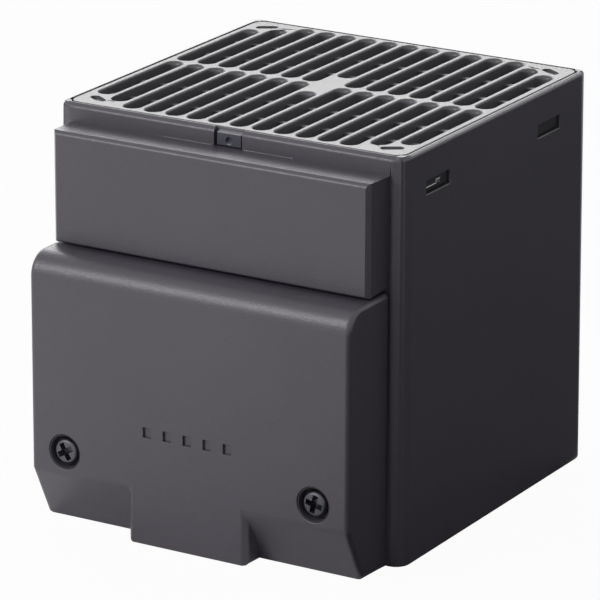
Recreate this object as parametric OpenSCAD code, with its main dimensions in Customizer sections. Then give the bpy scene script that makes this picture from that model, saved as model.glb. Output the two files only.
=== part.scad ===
// Fan heater for a switch cabinet: duct casing, grilles, fan, heating stack, terminals and rail clip.
// Millimetres, +Z up, front towards -Y, origin at the middle of the underside.

/* [Casing] */
// Width of the duct casing
casing_w = 100; // [96:1:120]
// Depth of the duct casing, from front wall to back wall
casing_d = 95; // [92:1:120]
// Height of the casing
casing_h = 103; // [100:1:130]
// Thickness of the casing walls
wall = 3; // [2.6:0.1:3.4]
// Radius of the upright corners
corner_r = 4; // [3.6:0.1:6]
// Thickness of the thin rim around the outlet grille
rim_t = 1.8; // [1.4:0.1:2.2]

/* [Front panel] */
// Width of the raised front panel
panel_w = 89.4; // [80:0.2:91]
// How far the panel stands out from the front wall
panel_depth = 8.1; // [6:0.1:10]
// Height of the panel's face
panel_h = 27.6; // [24:0.1:30]
// How far the panel's top ledge lies below the rim
ledge_drop = 4.6; // [4.2:0.1:6]
// Wall thickness of the panel and of the terminal cover
skin_t = 2.2; // [1.8:0.1:2.6]

/* [Terminal cover] */
// Width of the terminal cover
cover_w = 90.6; // [86:0.2:92]
// How far the cover stands out from the front wall
cover_depth = 18; // [17.4:0.1:22]
// Open seam between the panel and the cover
seam = 1.2; // [0.6:0.1:2]
// Radius of the cover's rounded top edge
cover_top_r = 6; // [3:0.5:8]
// Height of the bevel at the cover's lower corners
bevel_h = 14; // [10:0.5:14.5]
// How far the bevel sets back at the bottom
bevel_back = 7; // [4:0.5:8]
// Width of the flat tongue between the bevels
tongue_w = 32; // [24:1:40]
// Height of the cover's recessed floor above the underside
floor_rise = 2.6; // [2.4:0.1:4]
// Distance between the two cover screws
screw_span = 71; // [66:1:74]
// Height of the cover screws above the underside
screw_z = 19.8; // [19.6:0.1:24]
// Radius of the counterbore around a cover screw
counterbore_r = 4.5; // [4:0.1:5]
// Depth of the counterbore
counterbore_depth = 3; // [2.6:0.1:4]
// Number of small square recesses in the cover
recess_count = 5; // [3:1:7]
// Distance from one recess to the next
recess_pitch = 5.7; // [4:0.1:7]
// Width of a recess
recess_w = 2.3; // [1.5:0.1:3]
// Height of a recess
recess_h = 2.6; // [1.5:0.1:3.5]
// Depth of a recess
recess_depth = 1; // [0.5:0.1:1.4]
// Height of the recesses' middle above the underside
recess_z = 29.2; // [28:0.1:40]
// Radius of the cable inlet in the grommet
inlet_r = 4; // [3:0.1:4.6]

/* [Outlet grille] */
// Thickness of the grille plate
grille_t = 4; // [3:0.1:4.2]
// Clearance between the plate and the rim
grille_gap = 0.2; // [0.1:0.05:0.3]
// Width of the bars between slots
bar_w = 1.5; // [1.2:0.1:2]
// Width of the slots
slot_w = 4.8; // [4:0.1:5.4]
// Width of the middle rib between the two rows of slots
mid_rib_w = 2; // [1:0.1:4]
// Number of shortened slots at each corner
corner_steps = 2; // [1:1:3]
// How much each slot is shorter than the next one towards a corner
corner_step = 3.9; // [3:0.1:5]
// How much the middle slot is shortened at the centre of the grille
pad_cut = 7; // [3:0.5:10]
// Width of the low ribs across the slots
cross_rib_w = 1.2; // [0.8:0.1:2]
// How far the low ribs lie below the grille's face
cross_rib_drop = 2; // [1:0.1:2.4]
// Length of the blind oblong marks in the corners
mark_l = 6; // [4:0.2:6.4]
// Width of the corner marks
mark_w = 1.6; // [1:0.1:1.8]
// Depth of the corner marks
mark_depth = 1.5; // [0.5:0.1:2]

/* [Snap fits] */
// Length of a side window
window_l = 11.5; // [9:0.5:13]
// Height of a side window
window_h = 3.4; // [3:0.1:4]
// Height of the windows' middle below the rim
window_drop = 9.7; // [9:0.1:12]
// Distance of the front windows from the front wall
window_front = 17.5; // [14:0.5:24]
// Distance of the back windows from the back wall
window_back = 21; // [14:0.5:26]
// Thickness of a snap hook's leg
hook_t = 1.5; // [1.2:0.1:1.6]
// Width of the latch tab at the front of the grille
tab_w = 7; // [5:0.5:9]
// Clearance around the snap hooks and the latch tab
snap_gap = 0.5; // [0.3:0.1:0.6]
// How far the latch tab lies behind the front wall
tab_recess = 1; // [0.6:0.1:1.2]

/* [Fan] */
// Width and depth of the fan frame
fan_w = 80; // [76:1:82]
// Height of the fan frame
fan_h = 25; // [24:0.5:26]
// Distance of the fan's corner holes from its sides
fan_hole_inset = 4.25; // [4:0.05:5.5]
// Thickness of the fan frame where its bore comes nearest to a side
fan_rim = 1.5; // [1.2:0.1:2.5]
// Number of fan blades
blade_count = 7; // [5:1:9]
// Tilt of the fan blades
blade_tilt = 38; // [30:1:42]
// Gap between the blade tips and the bore
tip_gap = 0.8; // [0.5:0.1:1.5]
// Radius of the rotor's hub cup
hub_r = 17; // [16.6:0.1:18]
// Radius of the rotor shaft
shaft_r = 1.5; // [1.2:0.1:1.8]
// Running clearance between the shaft and its bearings
shaft_gap = 0.03; // [0.02:0.01:0.06]
// How far the intake grille lies above the underside
base_recess = 1.2; // [1:0.1:2]
// Thickness of the intake grille
intake_t = 3.5; // [3.2:0.1:4.5]
// Number of open rings in the intake grille
guard_rings = 4; // [3:1:5]
// Thickness of the shelf above the fan
shelf_t = 3; // [2.5:0.1:4]

/* [Heating stack] */
// Height of the heater frame above the fan shelf's bosses
heater_h = 26; // [22:0.5:27]
// Gap between the heater frame and the side walls
heater_side_gap = 3; // [2.8:0.1:5]
// Gap between the heater frame and the front and back walls
heater_end_gap = 3.5; // [3.5:0.1:5]
// Thickness of the frame's front and back rails
rail_bar_t = 5; // [4.6:0.1:6]
// Thickness of the frame's side walls
frame_side_t = 4; // [3:0.1:5]
// Number of heating bars
bar_count = 3; // [2:1:4]
// Thickness of a heating bar
ptc_t = 6; // [4:0.5:8]
// Distance between folds of the fins
fin_pitch = 4; // [3:0.5:6]
// Thickness of the fin sheet
fin_t = 0.5; // [0.3:0.1:0.6]
// Height of the bosses that carry the heater
boss_h = 7.3; // [6.6:0.1:9]

/* [Terminals] */
// Number of poles
pole_count = 5; // [3:1:5]
// Distance from one pole to the next
pole_pitch = 8; // [7.6:0.1:8.4]
// Depth of the terminal block
block_depth = 13.4; // [13:0.1:14.6]
// Height of the terminal block
block_h = 16; // [15.6:0.1:18]
// Height of the block's underside above the underside of the casing
block_z = 36; // [34:0.5:38]

/* [Rail clip] */
// Width of the clip base
clip_w = 40; // [36:1:60]
// Thickness of the clip base
clip_t = 6; // [5.8:0.1:8]
// Height of the mounting rail
rail_h = 35; // [34:0.5:36]
// Height of the rail's middle above the underside
rail_z = 52; // [51:0.5:56]
// Room for the rail's flange behind the hooks
rail_room = 1.4; // [1.2:0.1:2]
// Thickness of the hooks' lips
lip_t = 2.9; // [2.9:0.1:4]
// How far the lips reach behind the rail's flanges
lip_reach = 2.5; // [2:0.1:2.8]
// Travel of the latch
latch_travel = 3; // [2.8:0.1:3.2]
// Clearance around the latch in its guide
latch_gap = 0.15; // [0.1:0.05:0.25]

/* [Screws] */
// Radius of the small screws' shanks
m3_r = 1.5; // [1.4:0.05:1.6]
// Radius of the small screws' heads
m3_head_r = 3; // [2.8:0.1:3.2]
// Height of the small screws' heads
m3_head_h = 2; // [1.6:0.1:2.2]
// Radius of the large screws' shanks
m4_r = 2; // [1.9:0.05:2.1]
// Radius of the large screws' heads
m4_head_r = 3.8; // [3.6:0.1:4]
// Height of the large screws' heads
m4_head_h = 2.4; // [2:0.1:2.6]
// Clearance between a shank and the hole that it is driven into
thread_gap = 0.05; // [0.02:0.01:0.1]
// Clearance of a through hole for a screw
hole_gap = 0.2; // [0.1:0.05:0.3]

/* [Hidden] */
$fn = 64;
// Overshoot of cuts past the face that they open
over = 1;

// Colours, as the photo shows them or as such pieces usually are
dark_plastic = [0.27, 0.265, 0.285];
grille_grey = [0.6, 0.6, 0.62];
black_plastic = [0.12, 0.12, 0.13];
steel = [0.62, 0.62, 0.64];
aluminium = [0.78, 0.79, 0.8];
brass = [0.78, 0.62, 0.3];
copper = [0.72, 0.42, 0.25];
rubber = [0.08, 0.08, 0.09];
frame_beige = [0.75, 0.71, 0.62];
block_grey = [0.5, 0.52, 0.54];

// Places along Y: the whole depth, from the cover's front to the hooks' backs, is centred
total_d = cover_depth + casing_d + clip_t + rail_room + lip_t;
front_y = cover_depth - total_d / 2;
back_y = front_y + casing_d;
mid_y = front_y + casing_d / 2;
seat_y = back_y + clip_t;
hook_y = seat_y + rail_room + lip_t;

// Inside of the casing
inner_w = casing_w - 2 * wall;
inner_d = casing_d - 2 * wall;
inner_r = corner_r - wall;
plate_w = casing_w - 2 * (rim_t + grille_gap);
plate_d = casing_d - 2 * (rim_t + grille_gap);
plate_r = corner_r - rim_t - grille_gap;
grille_z = casing_h - grille_t;

// Front panel and cover
ledge_z = casing_h - ledge_drop;
panel_z = ledge_z - panel_h;
cover_h = panel_z - seam;
bevel_slope = bevel_back / bevel_h;
bevel_skin = skin_t * sqrt(1 + bevel_slope * bevel_slope);
boss_skin = 2;
post_r = 4;
post_depth = cover_depth - counterbore_depth - boss_skin;
cover_screw_l = 11;
cover_screw_turn = 13;
grommet_lip = 1.6;
grommet_web = 1.6;
grommet_gap = 0.1;
grommet_flange = 1.4;
grommet_p = cover_depth / 2 - skin_t / 4;

// Vertical stack
fan_z = base_recess + intake_t;
fan_top = fan_z + fan_h;
shelf_top = fan_top + shelf_t;
boss_top = shelf_top + boss_h;
heater_top = boss_top + heater_h;

// Room between a screw's tip and the end of its hole
tip_room = 0.6;

// Screws that hold the intake grille and the fan
fan_hole = fan_w / 2 - fan_hole_inset;
fan_bore_r = fan_w / 2 - fan_rim;
fan_boss_r = 4.5;
fan_screw_sink = 2;
fan_roof = 1.8;
fan_screw_l = boss_top - fan_roof - tip_room - base_recess - fan_screw_sink;

// Outlet grille
slot_pitch = slot_w + bar_w;
slot_pairs = floor((plate_w - bar_w - slot_pitch) / (2 * slot_pitch));
slot_count = 2 * slot_pairs + 1;
row_l = (plate_d - 2 * bar_w - mid_rib_w) / 2;
row_y = (row_l + mid_rib_w) / 2;
cross_ribs = [-1 / 6, 1 / 6];
mark_out = 3;
window_z = casing_h - window_drop;
hook_w = window_l - 2 * snap_gap;
hook_l = window_drop + window_h / 2 - grille_t - snap_gap;
hook_x = plate_w / 2;
hook_nose = rim_t - grille_gap;
tab_drop = 1;

// Fan details
flange_t = 4;
fan_corner_r = 3;
strut_turn = 20;
barrel_t = 1.4;
hub_disc_t = 3;
strut_w = 3;
bearing_r = 4;
bearing_w = 3;
bearing_fit = 0.03;
tube_r = bearing_r + 1.2;
rotor_gap = 2;
cup_t = 1.5;
cup_top = fan_top - hub_disc_t - rotor_gap;
cup_z = fan_z + rotor_gap;
shaft_boss_h = 2.9;
tube_z = cup_z + cup_t + shaft_boss_h + rotor_gap / 4;
magnet_t = 2.2;
magnet_fit = 0.05;
magnet_inner = hub_r - cup_t - magnet_fit - magnet_t;
air_gap = 0.6;
pole_r = magnet_inner - air_gap;
coil_t = 1;
coil_gap = 0.3;
stator_z = tube_z + coil_t + coil_gap;
stator_h = 6;
core_r = 7.2;
stem_w = 4;
shoe_t = 1.6;
blade_t = 1.6;
blade_chord = 20;
shaft_end_gap = 0.4;
magnet_drop = 0.5;

// Heating stack
heater_w = inner_w - 2 * heater_side_gap;
heater_d = inner_d - 2 * heater_end_gap;
stack_w = heater_w - 2 * frame_side_t;
stack_d = heater_d - 2 * rail_bar_t;
sill_h = 3;
sill_w = 3;
stack_z = boss_top + sill_h;
stack_h = heater_h - 2 * sill_h;
pack_d = (stack_d - bar_count * ptc_t) / (bar_count + 1);
stack_pitch = pack_d + ptc_t;
lug_t = 4;
lug_gap = 0.5;
lug_w = heater_side_gap - lug_gap;
lug_l = 10;
lug_post_r = 3.2;
lug_x = heater_w / 2 + lug_w - lug_post_r;
heater_screw_l = 9;
blade_tab_w = 6.3;
blade_tab_t = 0.8;
blade_tab_h = 8;
cutout_l = 15;
cutout_h = 4.5;
clip_sheet = 0.6;
clip_l = 8;
clip_leg = 2.6;

// Terminal block
pole_xs = [for (i = [0 : pole_count - 1]) (i - (pole_count - 1) / 2) * pole_pitch];
lug_block_w = 8;
lug_block_t = 6;
block_w = pole_count * pole_pitch;
block_lug_x = block_w / 2 + lug_block_w / 2;
block_lug_z = block_z + block_h / 2;
block_boss_r = 3.6;
block_boss_l = 2.9;
block_screw_l = lug_block_t + wall + block_boss_l - tip_room;
cage_w = 6;
cage_d = 8;
cage_h = 8;
cage_gap = 0.1;
wire_hole = 4;
clamp_head_r = 2.5;
clamp_head_h = 1.6;
clamp_l = 5;
clamp_turn = 20;
cage_roof = 1;
cage_rise = 4;
cage_back = 1;
cage_p = block_depth / 2 - cage_back;
cage_z = block_z + cage_rise;

// Leads: each runs in one upright plane, by points (distance behind the front wall, height)
lead_r = 0.9;
lead_sides = 8;
lead_bend = 3;
lead_clear = 0.4;
lead_window_w = pole_count * pole_pitch;
lead_window_h = 6.6;
lead_window_drop = 3;
lead_window_z = cover_h - lead_window_drop - lead_window_h;
lead_mid_z = lead_window_z + lead_window_h / 2;
lead_gap_y = wall + heater_end_gap / 2;
lead_rise = [
    [-cage_p, cage_z + cage_h],
    [-cage_p, max(lead_mid_z - 2 * lead_bend, cage_z + cage_h + lead_bend / 2)],
    [lead_bend - cage_p, lead_mid_z - lead_bend / 3],
    [wall / 2, lead_mid_z]
];
fan_lead_xs = [pole_xs[pole_count - 2], pole_xs[pole_count - 1]];

// Rail clip
hook_wall = 6.2;
clip_bottom = 20;
hook_clear = 0.3;
upper_hook_z = rail_z + rail_h / 2 + hook_clear;
clip_top = upper_hook_z + hook_wall;
lower_edge_z = rail_z - rail_h / 2;
guide_floor = 2;
guide_w = 18;
neck_w = 14;
guide_flange_t = 2;
guide_end = 3.5;
guide_top = lower_edge_z + guide_end;
nose_h = 3.5;
pull_slot_h = 2.4;
pull_slot_rise = 3;
latch_bottom = 8;
spring_wire_r = 0.3;
spring_r = (clip_t - guide_floor) / 2 - spring_wire_r - latch_gap;
spring_turns = 5;
pocket_w = 5.4;
peg_gap = 0.5;
peg_h = 1.2;
pocket_z = clip_bottom + peg_gap;
spring_z = pocket_z + peg_gap + peg_h;
spring_block = 2 * spring_wire_r * spring_turns + 1.2;
pocket_top = spring_z + latch_travel + spring_block;
clip_screw_x = 15;
clip_boss_r = 4.4;
clip_boss_l = 2.8;
clip_head_sink = m4_head_h + 0.2;
clip_screw_l = clip_t - clip_head_sink + wall + clip_boss_l - tip_room;

// A rectangle with round corners, about the origin
module round_rect(w, d, r) {
    square([w - 2 * r, d], center = true);
    square([w, d - 2 * r], center = true);
    for (x = [-1, 1], y = [-1, 1])
        translate([x * (w / 2 - r), y * (d / 2 - r)])
            circle(r);
}

// A block with round upright edges, standing on z = 0
module round_block(w, d, h, r) {
    linear_extrude(h)
        round_rect(w, d, r);
}

// A straight slot with round ends, along Y
module oblong(l, w) {
    square([w, l - w], center = true);
    for (s = [-1, 1])
        translate([0, s * (l - w) / 2])
            circle(w / 2);
}

// A block given by its lowest and highest corners
module span(low, high) {
    translate(low)
        cube(high - low);
}

// A pan head screw with a cross recess: the head's seat is at z = 0 and the shank points down
module pan_screw(head_r, head_h, shank_r, shank_l) {
    recess_l = 1.15 * head_r;
    recess_t = 0.28 * head_r;
    dome_r = (head_r * head_r + head_h * head_h) / (2 * head_h) + head_r / 2;
    difference() {
        intersection() {
            cylinder(r = head_r, h = head_h);
            translate([0, 0, head_h - dome_r])
                sphere(dome_r);
        }
        for (a = [0, 90])
            rotate(a)
                translate([-recess_l / 2, -recess_t / 2, head_h / 2])
                    cube([recess_l, recess_t, head_h]);
    }
    translate([0, 0, -shank_l])
        cylinder(r = shank_r, h = shank_l);
}

// Puts its children at a height on the front wall, facing forwards: their +Z points to the front
module on_front(x, z, out = 0) {
    translate([x, front_y - out, z])
        rotate([90, 0, 0])
            children();
}

// Repeats its children at the fan's four corner holes
module at_fan_holes() {
    for (x = [-1, 1], y = [-1, 1])
        translate([x * fan_hole, mid_y + y * fan_hole, 0])
            children();
}

// Repeats its children at the four side windows, turned so that +X points out of the wall
module at_windows() {
    for (side = [0, 1], y = [front_y + window_front, back_y - window_back])
        mirror([side, 0, 0])
            translate([0, y, window_z])
                children();
}

module casing_hollows() {
    translate([0, mid_y, -over])
        round_block(inner_w, inner_d, fan_top + over, inner_r);
    translate([0, mid_y, shelf_top])
        round_block(inner_w, inner_d, casing_h, inner_r);
    translate([0, mid_y, grille_z])
        round_block(plate_w + 2 * grille_gap, plate_d + 2 * grille_gap, casing_h, corner_r - rim_t);
    translate([0, mid_y, fan_z])
        cylinder(r = fan_bore_r, h = casing_h);
}

module casing_posts() {
    for (s = [-1, 1]) {
        on_front(s * screw_span / 2, screw_z, -wall / 2)
            cylinder(r = post_r, h = post_depth + wall / 2);
        on_front(s * block_lug_x, block_lug_z, -wall - block_boss_l)
            cylinder(r = block_boss_r, h = block_boss_l + wall / 2);
        translate([s * clip_screw_x, back_y - wall / 2, rail_z])
            rotate([90, 0, 0])
                cylinder(r = clip_boss_r, h = clip_boss_l + wall / 2);
        translate([s * lug_x, mid_y, fan_top + shelf_t / 2])
            cylinder(r = lug_post_r, h = boss_top - fan_top - shelf_t / 2);
    }
    at_fan_holes()
        translate([0, 0, fan_top + shelf_t / 2])
            cylinder(r = fan_boss_r, h = boss_top - fan_top - shelf_t / 2);
}

module casing_pilots() {
    for (s = [-1, 1]) {
        on_front(s * screw_span / 2, screw_z, post_depth - cover_screw_l)
            cylinder(r = m3_r + thread_gap, h = cover_screw_l + over);
        on_front(s * block_lug_x, block_lug_z, -wall - block_boss_l - over)
            cylinder(r = m3_r + thread_gap, h = 2 * wall + block_boss_l);
        translate([s * clip_screw_x, back_y + over, rail_z])
            rotate([90, 0, 0])
                cylinder(r = m4_r + thread_gap, h = wall + clip_boss_l + 2 * over);
        translate([s * lug_x, mid_y, boss_top - heater_screw_l + lug_t - tip_room])
            cylinder(r = m3_r + thread_gap, h = heater_screw_l + over);
    }
    at_fan_holes()
        translate([0, 0, fan_top - over])
            cylinder(r = m4_r + thread_gap, h = boss_top - fan_roof - fan_top + over);
}

// Distance behind the front wall of the fan bore's front edge, and of the middle of the fan's flange, at x
function bore_edge(x) = casing_d / 2 - sqrt(fan_bore_r * fan_bore_r - x * x);
function flange_mid(x) = ((casing_d - fan_w) / 2 + bore_edge(x)) / 2;

module casing() {
    panel_half = panel_w / 2;
    color(dark_plastic)
    difference() {
        union() {
            difference() {
                translate([0, mid_y, 0])
                    round_block(casing_w, casing_d, casing_h, corner_r);
                casing_hollows();
            }
            casing_posts();
            span([-panel_half, front_y - panel_depth, panel_z],
                 [panel_half, front_y + wall / 2, ledge_z]);
        }
        casing_pilots();
        span([skin_t - panel_half, front_y - panel_depth + skin_t, panel_z + skin_t],
             [panel_half - skin_t, front_y + wall + over, ledge_z - skin_t]);
        at_windows() {
            translate([inner_w / 2 - over, -window_l / 2, -window_h / 2])
                cube([wall + 2 * over, window_l, window_h]);
            translate([inner_w / 2 - over, -window_l / 2, -window_h / 2])
                cube([wall - rim_t + over, window_l, grille_z - window_z + window_h / 2 + over / 2]);
        }
        span([-tab_w / 2 - snap_gap, front_y - over, ledge_z],
             [tab_w / 2 + snap_gap, front_y + wall + over, casing_h + over]);
        span([-lead_window_w / 2, front_y - over, lead_window_z],
             [lead_window_w / 2, front_y + wall + over, lead_window_z + lead_window_h]);
        for (x = fan_lead_xs)
            span([x - lead_r - lead_clear, front_y + flange_mid(x) - lead_r - lead_clear, fan_top - over],
                 [x + lead_r + lead_clear, front_y + bore_edge(x) + over, shelf_top + over]);
    }
}

module grille_slots() {
    for (i = [0 : slot_count - 1], row = [-1, 1]) {
        x = (i - slot_pairs) * slot_pitch;
        from_side = min(i, slot_count - 1 - i);
        outer_cut = max(0, corner_steps - from_side) * corner_step;
        inner_cut = i == slot_pairs ? pad_cut : 0;
        translate([x, row * (row_y + (inner_cut - outer_cut) / 2)])
            oblong(row_l - outer_cut - inner_cut, slot_w);
    }
}

module corner_marks() {
    slope = atan(corner_step / slot_pitch);
    mark_x = (slot_pairs - 0.5) * slot_pitch + mark_out * sin(slope);
    mark_y = row_y + row_l / 2 - (corner_steps - 0.5) * corner_step + mark_out * cos(slope);
    for (x = [0, 1], y = [0, 1])
        mirror([x, 0])
            mirror([0, y])
                translate([mark_x, mark_y])
                    rotate(90 - slope)
                        oblong(mark_l, mark_w);
}

module snap_hook() {
    nose_h = window_h - snap_gap;
    translate([hook_x - hook_t, -hook_w / 2, grille_z - window_z - hook_l])
        cube([hook_t, hook_w, hook_l + over / 2]);
    translate([hook_x - over / 4, hook_w / 2, window_h / 2 - snap_gap / 4])
        rotate([90, 0, 0])
            linear_extrude(hook_w)
                polygon([[0, 0], [hook_nose + over / 4, 0], [hook_nose + over / 4, -nose_h / 3],
                         [0, -nose_h]]);
}

module outlet_grille() {
    color(grille_grey) {
        difference() {
            union() {
                translate([0, mid_y, grille_z])
                    linear_extrude(grille_t)
                        difference() {
                            round_rect(plate_w, plate_d, plate_r);
                            grille_slots();
                        }
                for (row = [-1, 1], part = cross_ribs)
                    translate([bar_w / 2 - plate_w / 2,
                               mid_y + row * row_y + part * row_l - cross_rib_w / 2, grille_z])
                        cube([plate_w - bar_w, cross_rib_w, grille_t - cross_rib_drop]);
            }
            translate([0, mid_y, casing_h - mark_depth])
                linear_extrude(mark_depth + over)
                    corner_marks();
        }
        at_windows()
            snap_hook();
        span([-tab_w / 2, front_y + tab_recess, ledge_z + snap_gap / 2],
             [tab_w / 2, front_y + rim_t + grille_gap + bar_w / 2, casing_h - tab_drop]);
    }
}

// Side outline of the cover, as (distance in front of the wall, height)
module cover_outline() {
    square([cover_depth - cover_top_r, cover_h]);
    square([cover_depth, cover_h - cover_top_r]);
    translate([cover_depth - cover_top_r, cover_h - cover_top_r])
        circle(cover_top_r);
}

// Stands an outline (distance in front of the wall, height) up along X from x0 to x1
module along_cover(x0, x1) {
    translate([x0, front_y, 0])
        rotate([90, 0, 0])
            rotate([0, -90, 0])
                mirror([0, 0, 1])
                    linear_extrude(x1 - x0)
                        children();
}

module cover_hollow() {
    reach = cover_depth - skin_t;
    top = cover_h - skin_t;
    low = floor_rise + skin_t;
    inner_top_r = max(cover_top_r - skin_t, 0.5);
    inner_half = cover_w / 2 - skin_t;
    tongue_half = tongue_w / 2 - skin_t;
    bevel_z = bevel_h + (bevel_skin - skin_t) / bevel_slope;
    bevel_foot = reach - (bevel_z - low) * bevel_slope;
    along_cover(-inner_half, inner_half) {
        translate([-over, bevel_z])
            square([reach - inner_top_r + over, top - bevel_z]);
        translate([-over, bevel_z])
            square([reach + over, top - inner_top_r - bevel_z]);
        translate([reach - inner_top_r, top - inner_top_r])
            circle(inner_top_r);
        polygon([[-over, low], [bevel_foot, low], [reach, bevel_z], [-over, bevel_z]]);
    }
    along_cover(-tongue_half, tongue_half)
        translate([-over, low])
            square([reach + over, bevel_z - low + over]);
}

module terminal_cover() {
    tongue_half = tongue_w / 2;
    color(dark_plastic)
    difference() {
        union() {
            difference() {
                along_cover(-cover_w / 2, cover_w / 2)
                    cover_outline();
                cover_hollow();
            }
            for (s = [-1, 1])
                on_front(s * screw_span / 2, screw_z, post_depth)
                    cylinder(r = counterbore_r + boss_skin, h = cover_depth - post_depth - skin_t / 2);
        }
        for (side = [0, 1])
            mirror([side, 0, 0])
                along_cover(tongue_half, cover_w / 2 + over)
                    polygon([[cover_depth - bevel_back - bevel_slope, -1], [cover_depth + over, -1],
                             [cover_depth + over, bevel_h + over / bevel_slope]]);
        for (s = [-1, 1]) {
            on_front(s * screw_span / 2, screw_z, cover_depth - counterbore_depth)
                cylinder(r = counterbore_r, h = counterbore_depth + over);
            on_front(s * screw_span / 2, screw_z, post_depth - over)
                cylinder(r = m3_r + hole_gap, h = cover_depth);
        }
        for (i = [0 : recess_count - 1])
            on_front((i - (recess_count - 1) / 2) * recess_pitch, recess_z, cover_depth - recess_depth)
                translate([-recess_w / 2, -recess_h / 2, 0])
                    cube([recess_w, recess_h, recess_depth + over]);
        floor_cut();
        translate([0, front_y - grommet_p, 0])
            cylinder(r = inlet_r + grommet_web + grommet_gap, h = 2 * floor_rise + 2 * skin_t);
    }
}

// Opens the underside of the cover up to its recessed floor
module floor_cut() {
    foot = cover_depth - bevel_back - bevel_skin;
    span([skin_t - cover_w / 2, front_y - foot, -over], [cover_w / 2 - skin_t, front_y + over, floor_rise]);
    span([skin_t - tongue_w / 2, front_y - cover_depth + skin_t, -over],
         [tongue_w / 2 - skin_t, front_y + over, floor_rise]);
}

module cover_screws() {
    color(steel)
    for (s = [-1, 1])
        on_front(s * screw_span / 2, screw_z, cover_depth - counterbore_depth)
            rotate(s * cover_screw_turn)
                pan_screw(m3_head_r, m3_head_h, m3_r, cover_screw_l);
}

module cable_grommet() {
    web_r = inlet_r + grommet_web;
    lip_r = web_r + grommet_flange;
    low = floor_rise - grommet_lip - grommet_gap;
    high = floor_rise + skin_t + grommet_lip + grommet_gap;
    color(rubber)
    translate([0, front_y - grommet_p, 0])
        rotate_extrude()
            polygon([[inlet_r, low], [lip_r, low], [lip_r, low + grommet_lip], [web_r, low + grommet_lip],
                     [web_r, high - grommet_lip], [lip_r, high - grommet_lip], [lip_r, high],
                     [inlet_r, high]]);
}

module intake_grille() {
    ring_t = 1.8;
    eye_r = 8;
    ring_pitch = (fan_bore_r - eye_r - ring_t) / guard_rings;
    ring_gap = ring_pitch - ring_t;
    spoke_w = 3;
    color(dark_plastic) {
        translate([0, mid_y, base_recess])
            difference() {
                round_block(inner_w - 2 * grille_gap, inner_d - 2 * grille_gap, intake_t, inner_r);
                for (k = [0 : guard_rings - 1]) {
                    r = eye_r + k * ring_pitch;
                    translate([0, 0, -over])
                        difference() {
                            cylinder(r = r + ring_gap, h = intake_t + 2 * over);
                            cylinder(r = r, h = intake_t + 2 * over);
                            for (a = [45, 135])
                                rotate(a)
                                    translate([-fan_w / 2, -spoke_w / 2, 0])
                                        cube([fan_w, spoke_w, intake_t + 2 * over]);
                        }
                }
                for (x = [-1, 1], y = [-1, 1])
                    translate([x * fan_hole, y * fan_hole, -over]) {
                        cylinder(r = m4_r + hole_gap, h = intake_t + 2 * over);
                        cylinder(r = m4_head_r + hole_gap, h = fan_screw_sink + over);
                    }
            }
    }
}

module fan_frame() {
    color(black_plastic)
    translate([0, mid_y, fan_z])
        difference() {
            union() {
                difference() {
                    union() {
                        round_block(fan_w, fan_w, flange_t, fan_corner_r);
                        translate([0, 0, fan_h - flange_t])
                            round_block(fan_w, fan_w, flange_t, fan_corner_r);
                        cylinder(r = fan_bore_r + barrel_t, h = fan_h);
                    }
                    translate([0, 0, -over])
                        cylinder(r = fan_bore_r, h = fan_h + 2 * over);
                }
                translate([0, 0, fan_h - hub_disc_t])
                    cylinder(r = hub_r, h = hub_disc_t);
                for (a = [0, 90, 180, 270])
                    rotate(a + strut_turn)
                        translate([hub_r - over, -strut_w / 2, fan_h - hub_disc_t])
                            cube([fan_bore_r - hub_r + over + barrel_t / 2, strut_w, hub_disc_t]);
                translate([0, 0, tube_z - fan_z])
                    cylinder(r = tube_r, h = fan_h - (tube_z - fan_z) - hub_disc_t / 2);
            }
            translate([0, 0, tube_z - fan_z - over])
                cylinder(r = bearing_r + bearing_fit, h = fan_h - hub_disc_t - (tube_z - fan_z) + over);
            for (x = [-1, 1], y = [-1, 1])
                translate([x * fan_hole, y * fan_hole, -over])
                    cylinder(r = m4_r + hole_gap, h = fan_h + 2 * over);
        }
}

module fan_stator() {
    color(steel)
    translate([0, mid_y, stator_z])
        difference() {
            union() {
                cylinder(r = core_r, h = stator_h);
                for (a = [0, 90, 180, 270])
                    rotate(a) {
                        translate([core_r - over, -stem_w / 2, 0])
                            cube([pole_r - core_r - shoe_t / 2 + over, stem_w, stator_h]);
                        intersection() {
                            difference() {
                                cylinder(r = pole_r, h = stator_h);
                                translate([0, 0, -over])
                                    cylinder(r = pole_r - shoe_t, h = stator_h + 2 * over);
                            }
                            translate([0, -pole_r / 2, 0])
                                cube([pole_r, pole_r, stator_h]);
                        }
                    }
            }
            translate([0, 0, -over])
                cylinder(r = tube_r + bearing_fit, h = stator_h + 2 * over);
        }
}

module stator_coils() {
    low = core_r + coil_gap;
    high = pole_r - shoe_t - 2 * coil_gap;
    color(copper)
    translate([0, mid_y, stator_z])
        for (a = [0, 90, 180, 270])
            rotate(a)
                difference() {
                    span([low, -stem_w / 2 - coil_t, -coil_t],
                         [high, stem_w / 2 + coil_t, stator_h + coil_t]);
                    span([low - over, -stem_w / 2, 0], [high + over, stem_w / 2, stator_h]);
                }
}

module fan_bearings() {
    first_z = tube_z;
    last_z = fan_top - hub_disc_t - bearing_w;
    color(steel)
    for (z = [first_z, last_z])
        translate([0, mid_y, z])
            difference() {
                cylinder(r = bearing_r, h = bearing_w);
                translate([0, 0, -over])
                    cylinder(r = shaft_r + shaft_gap, h = bearing_w + 2 * over);
            }
}

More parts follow.
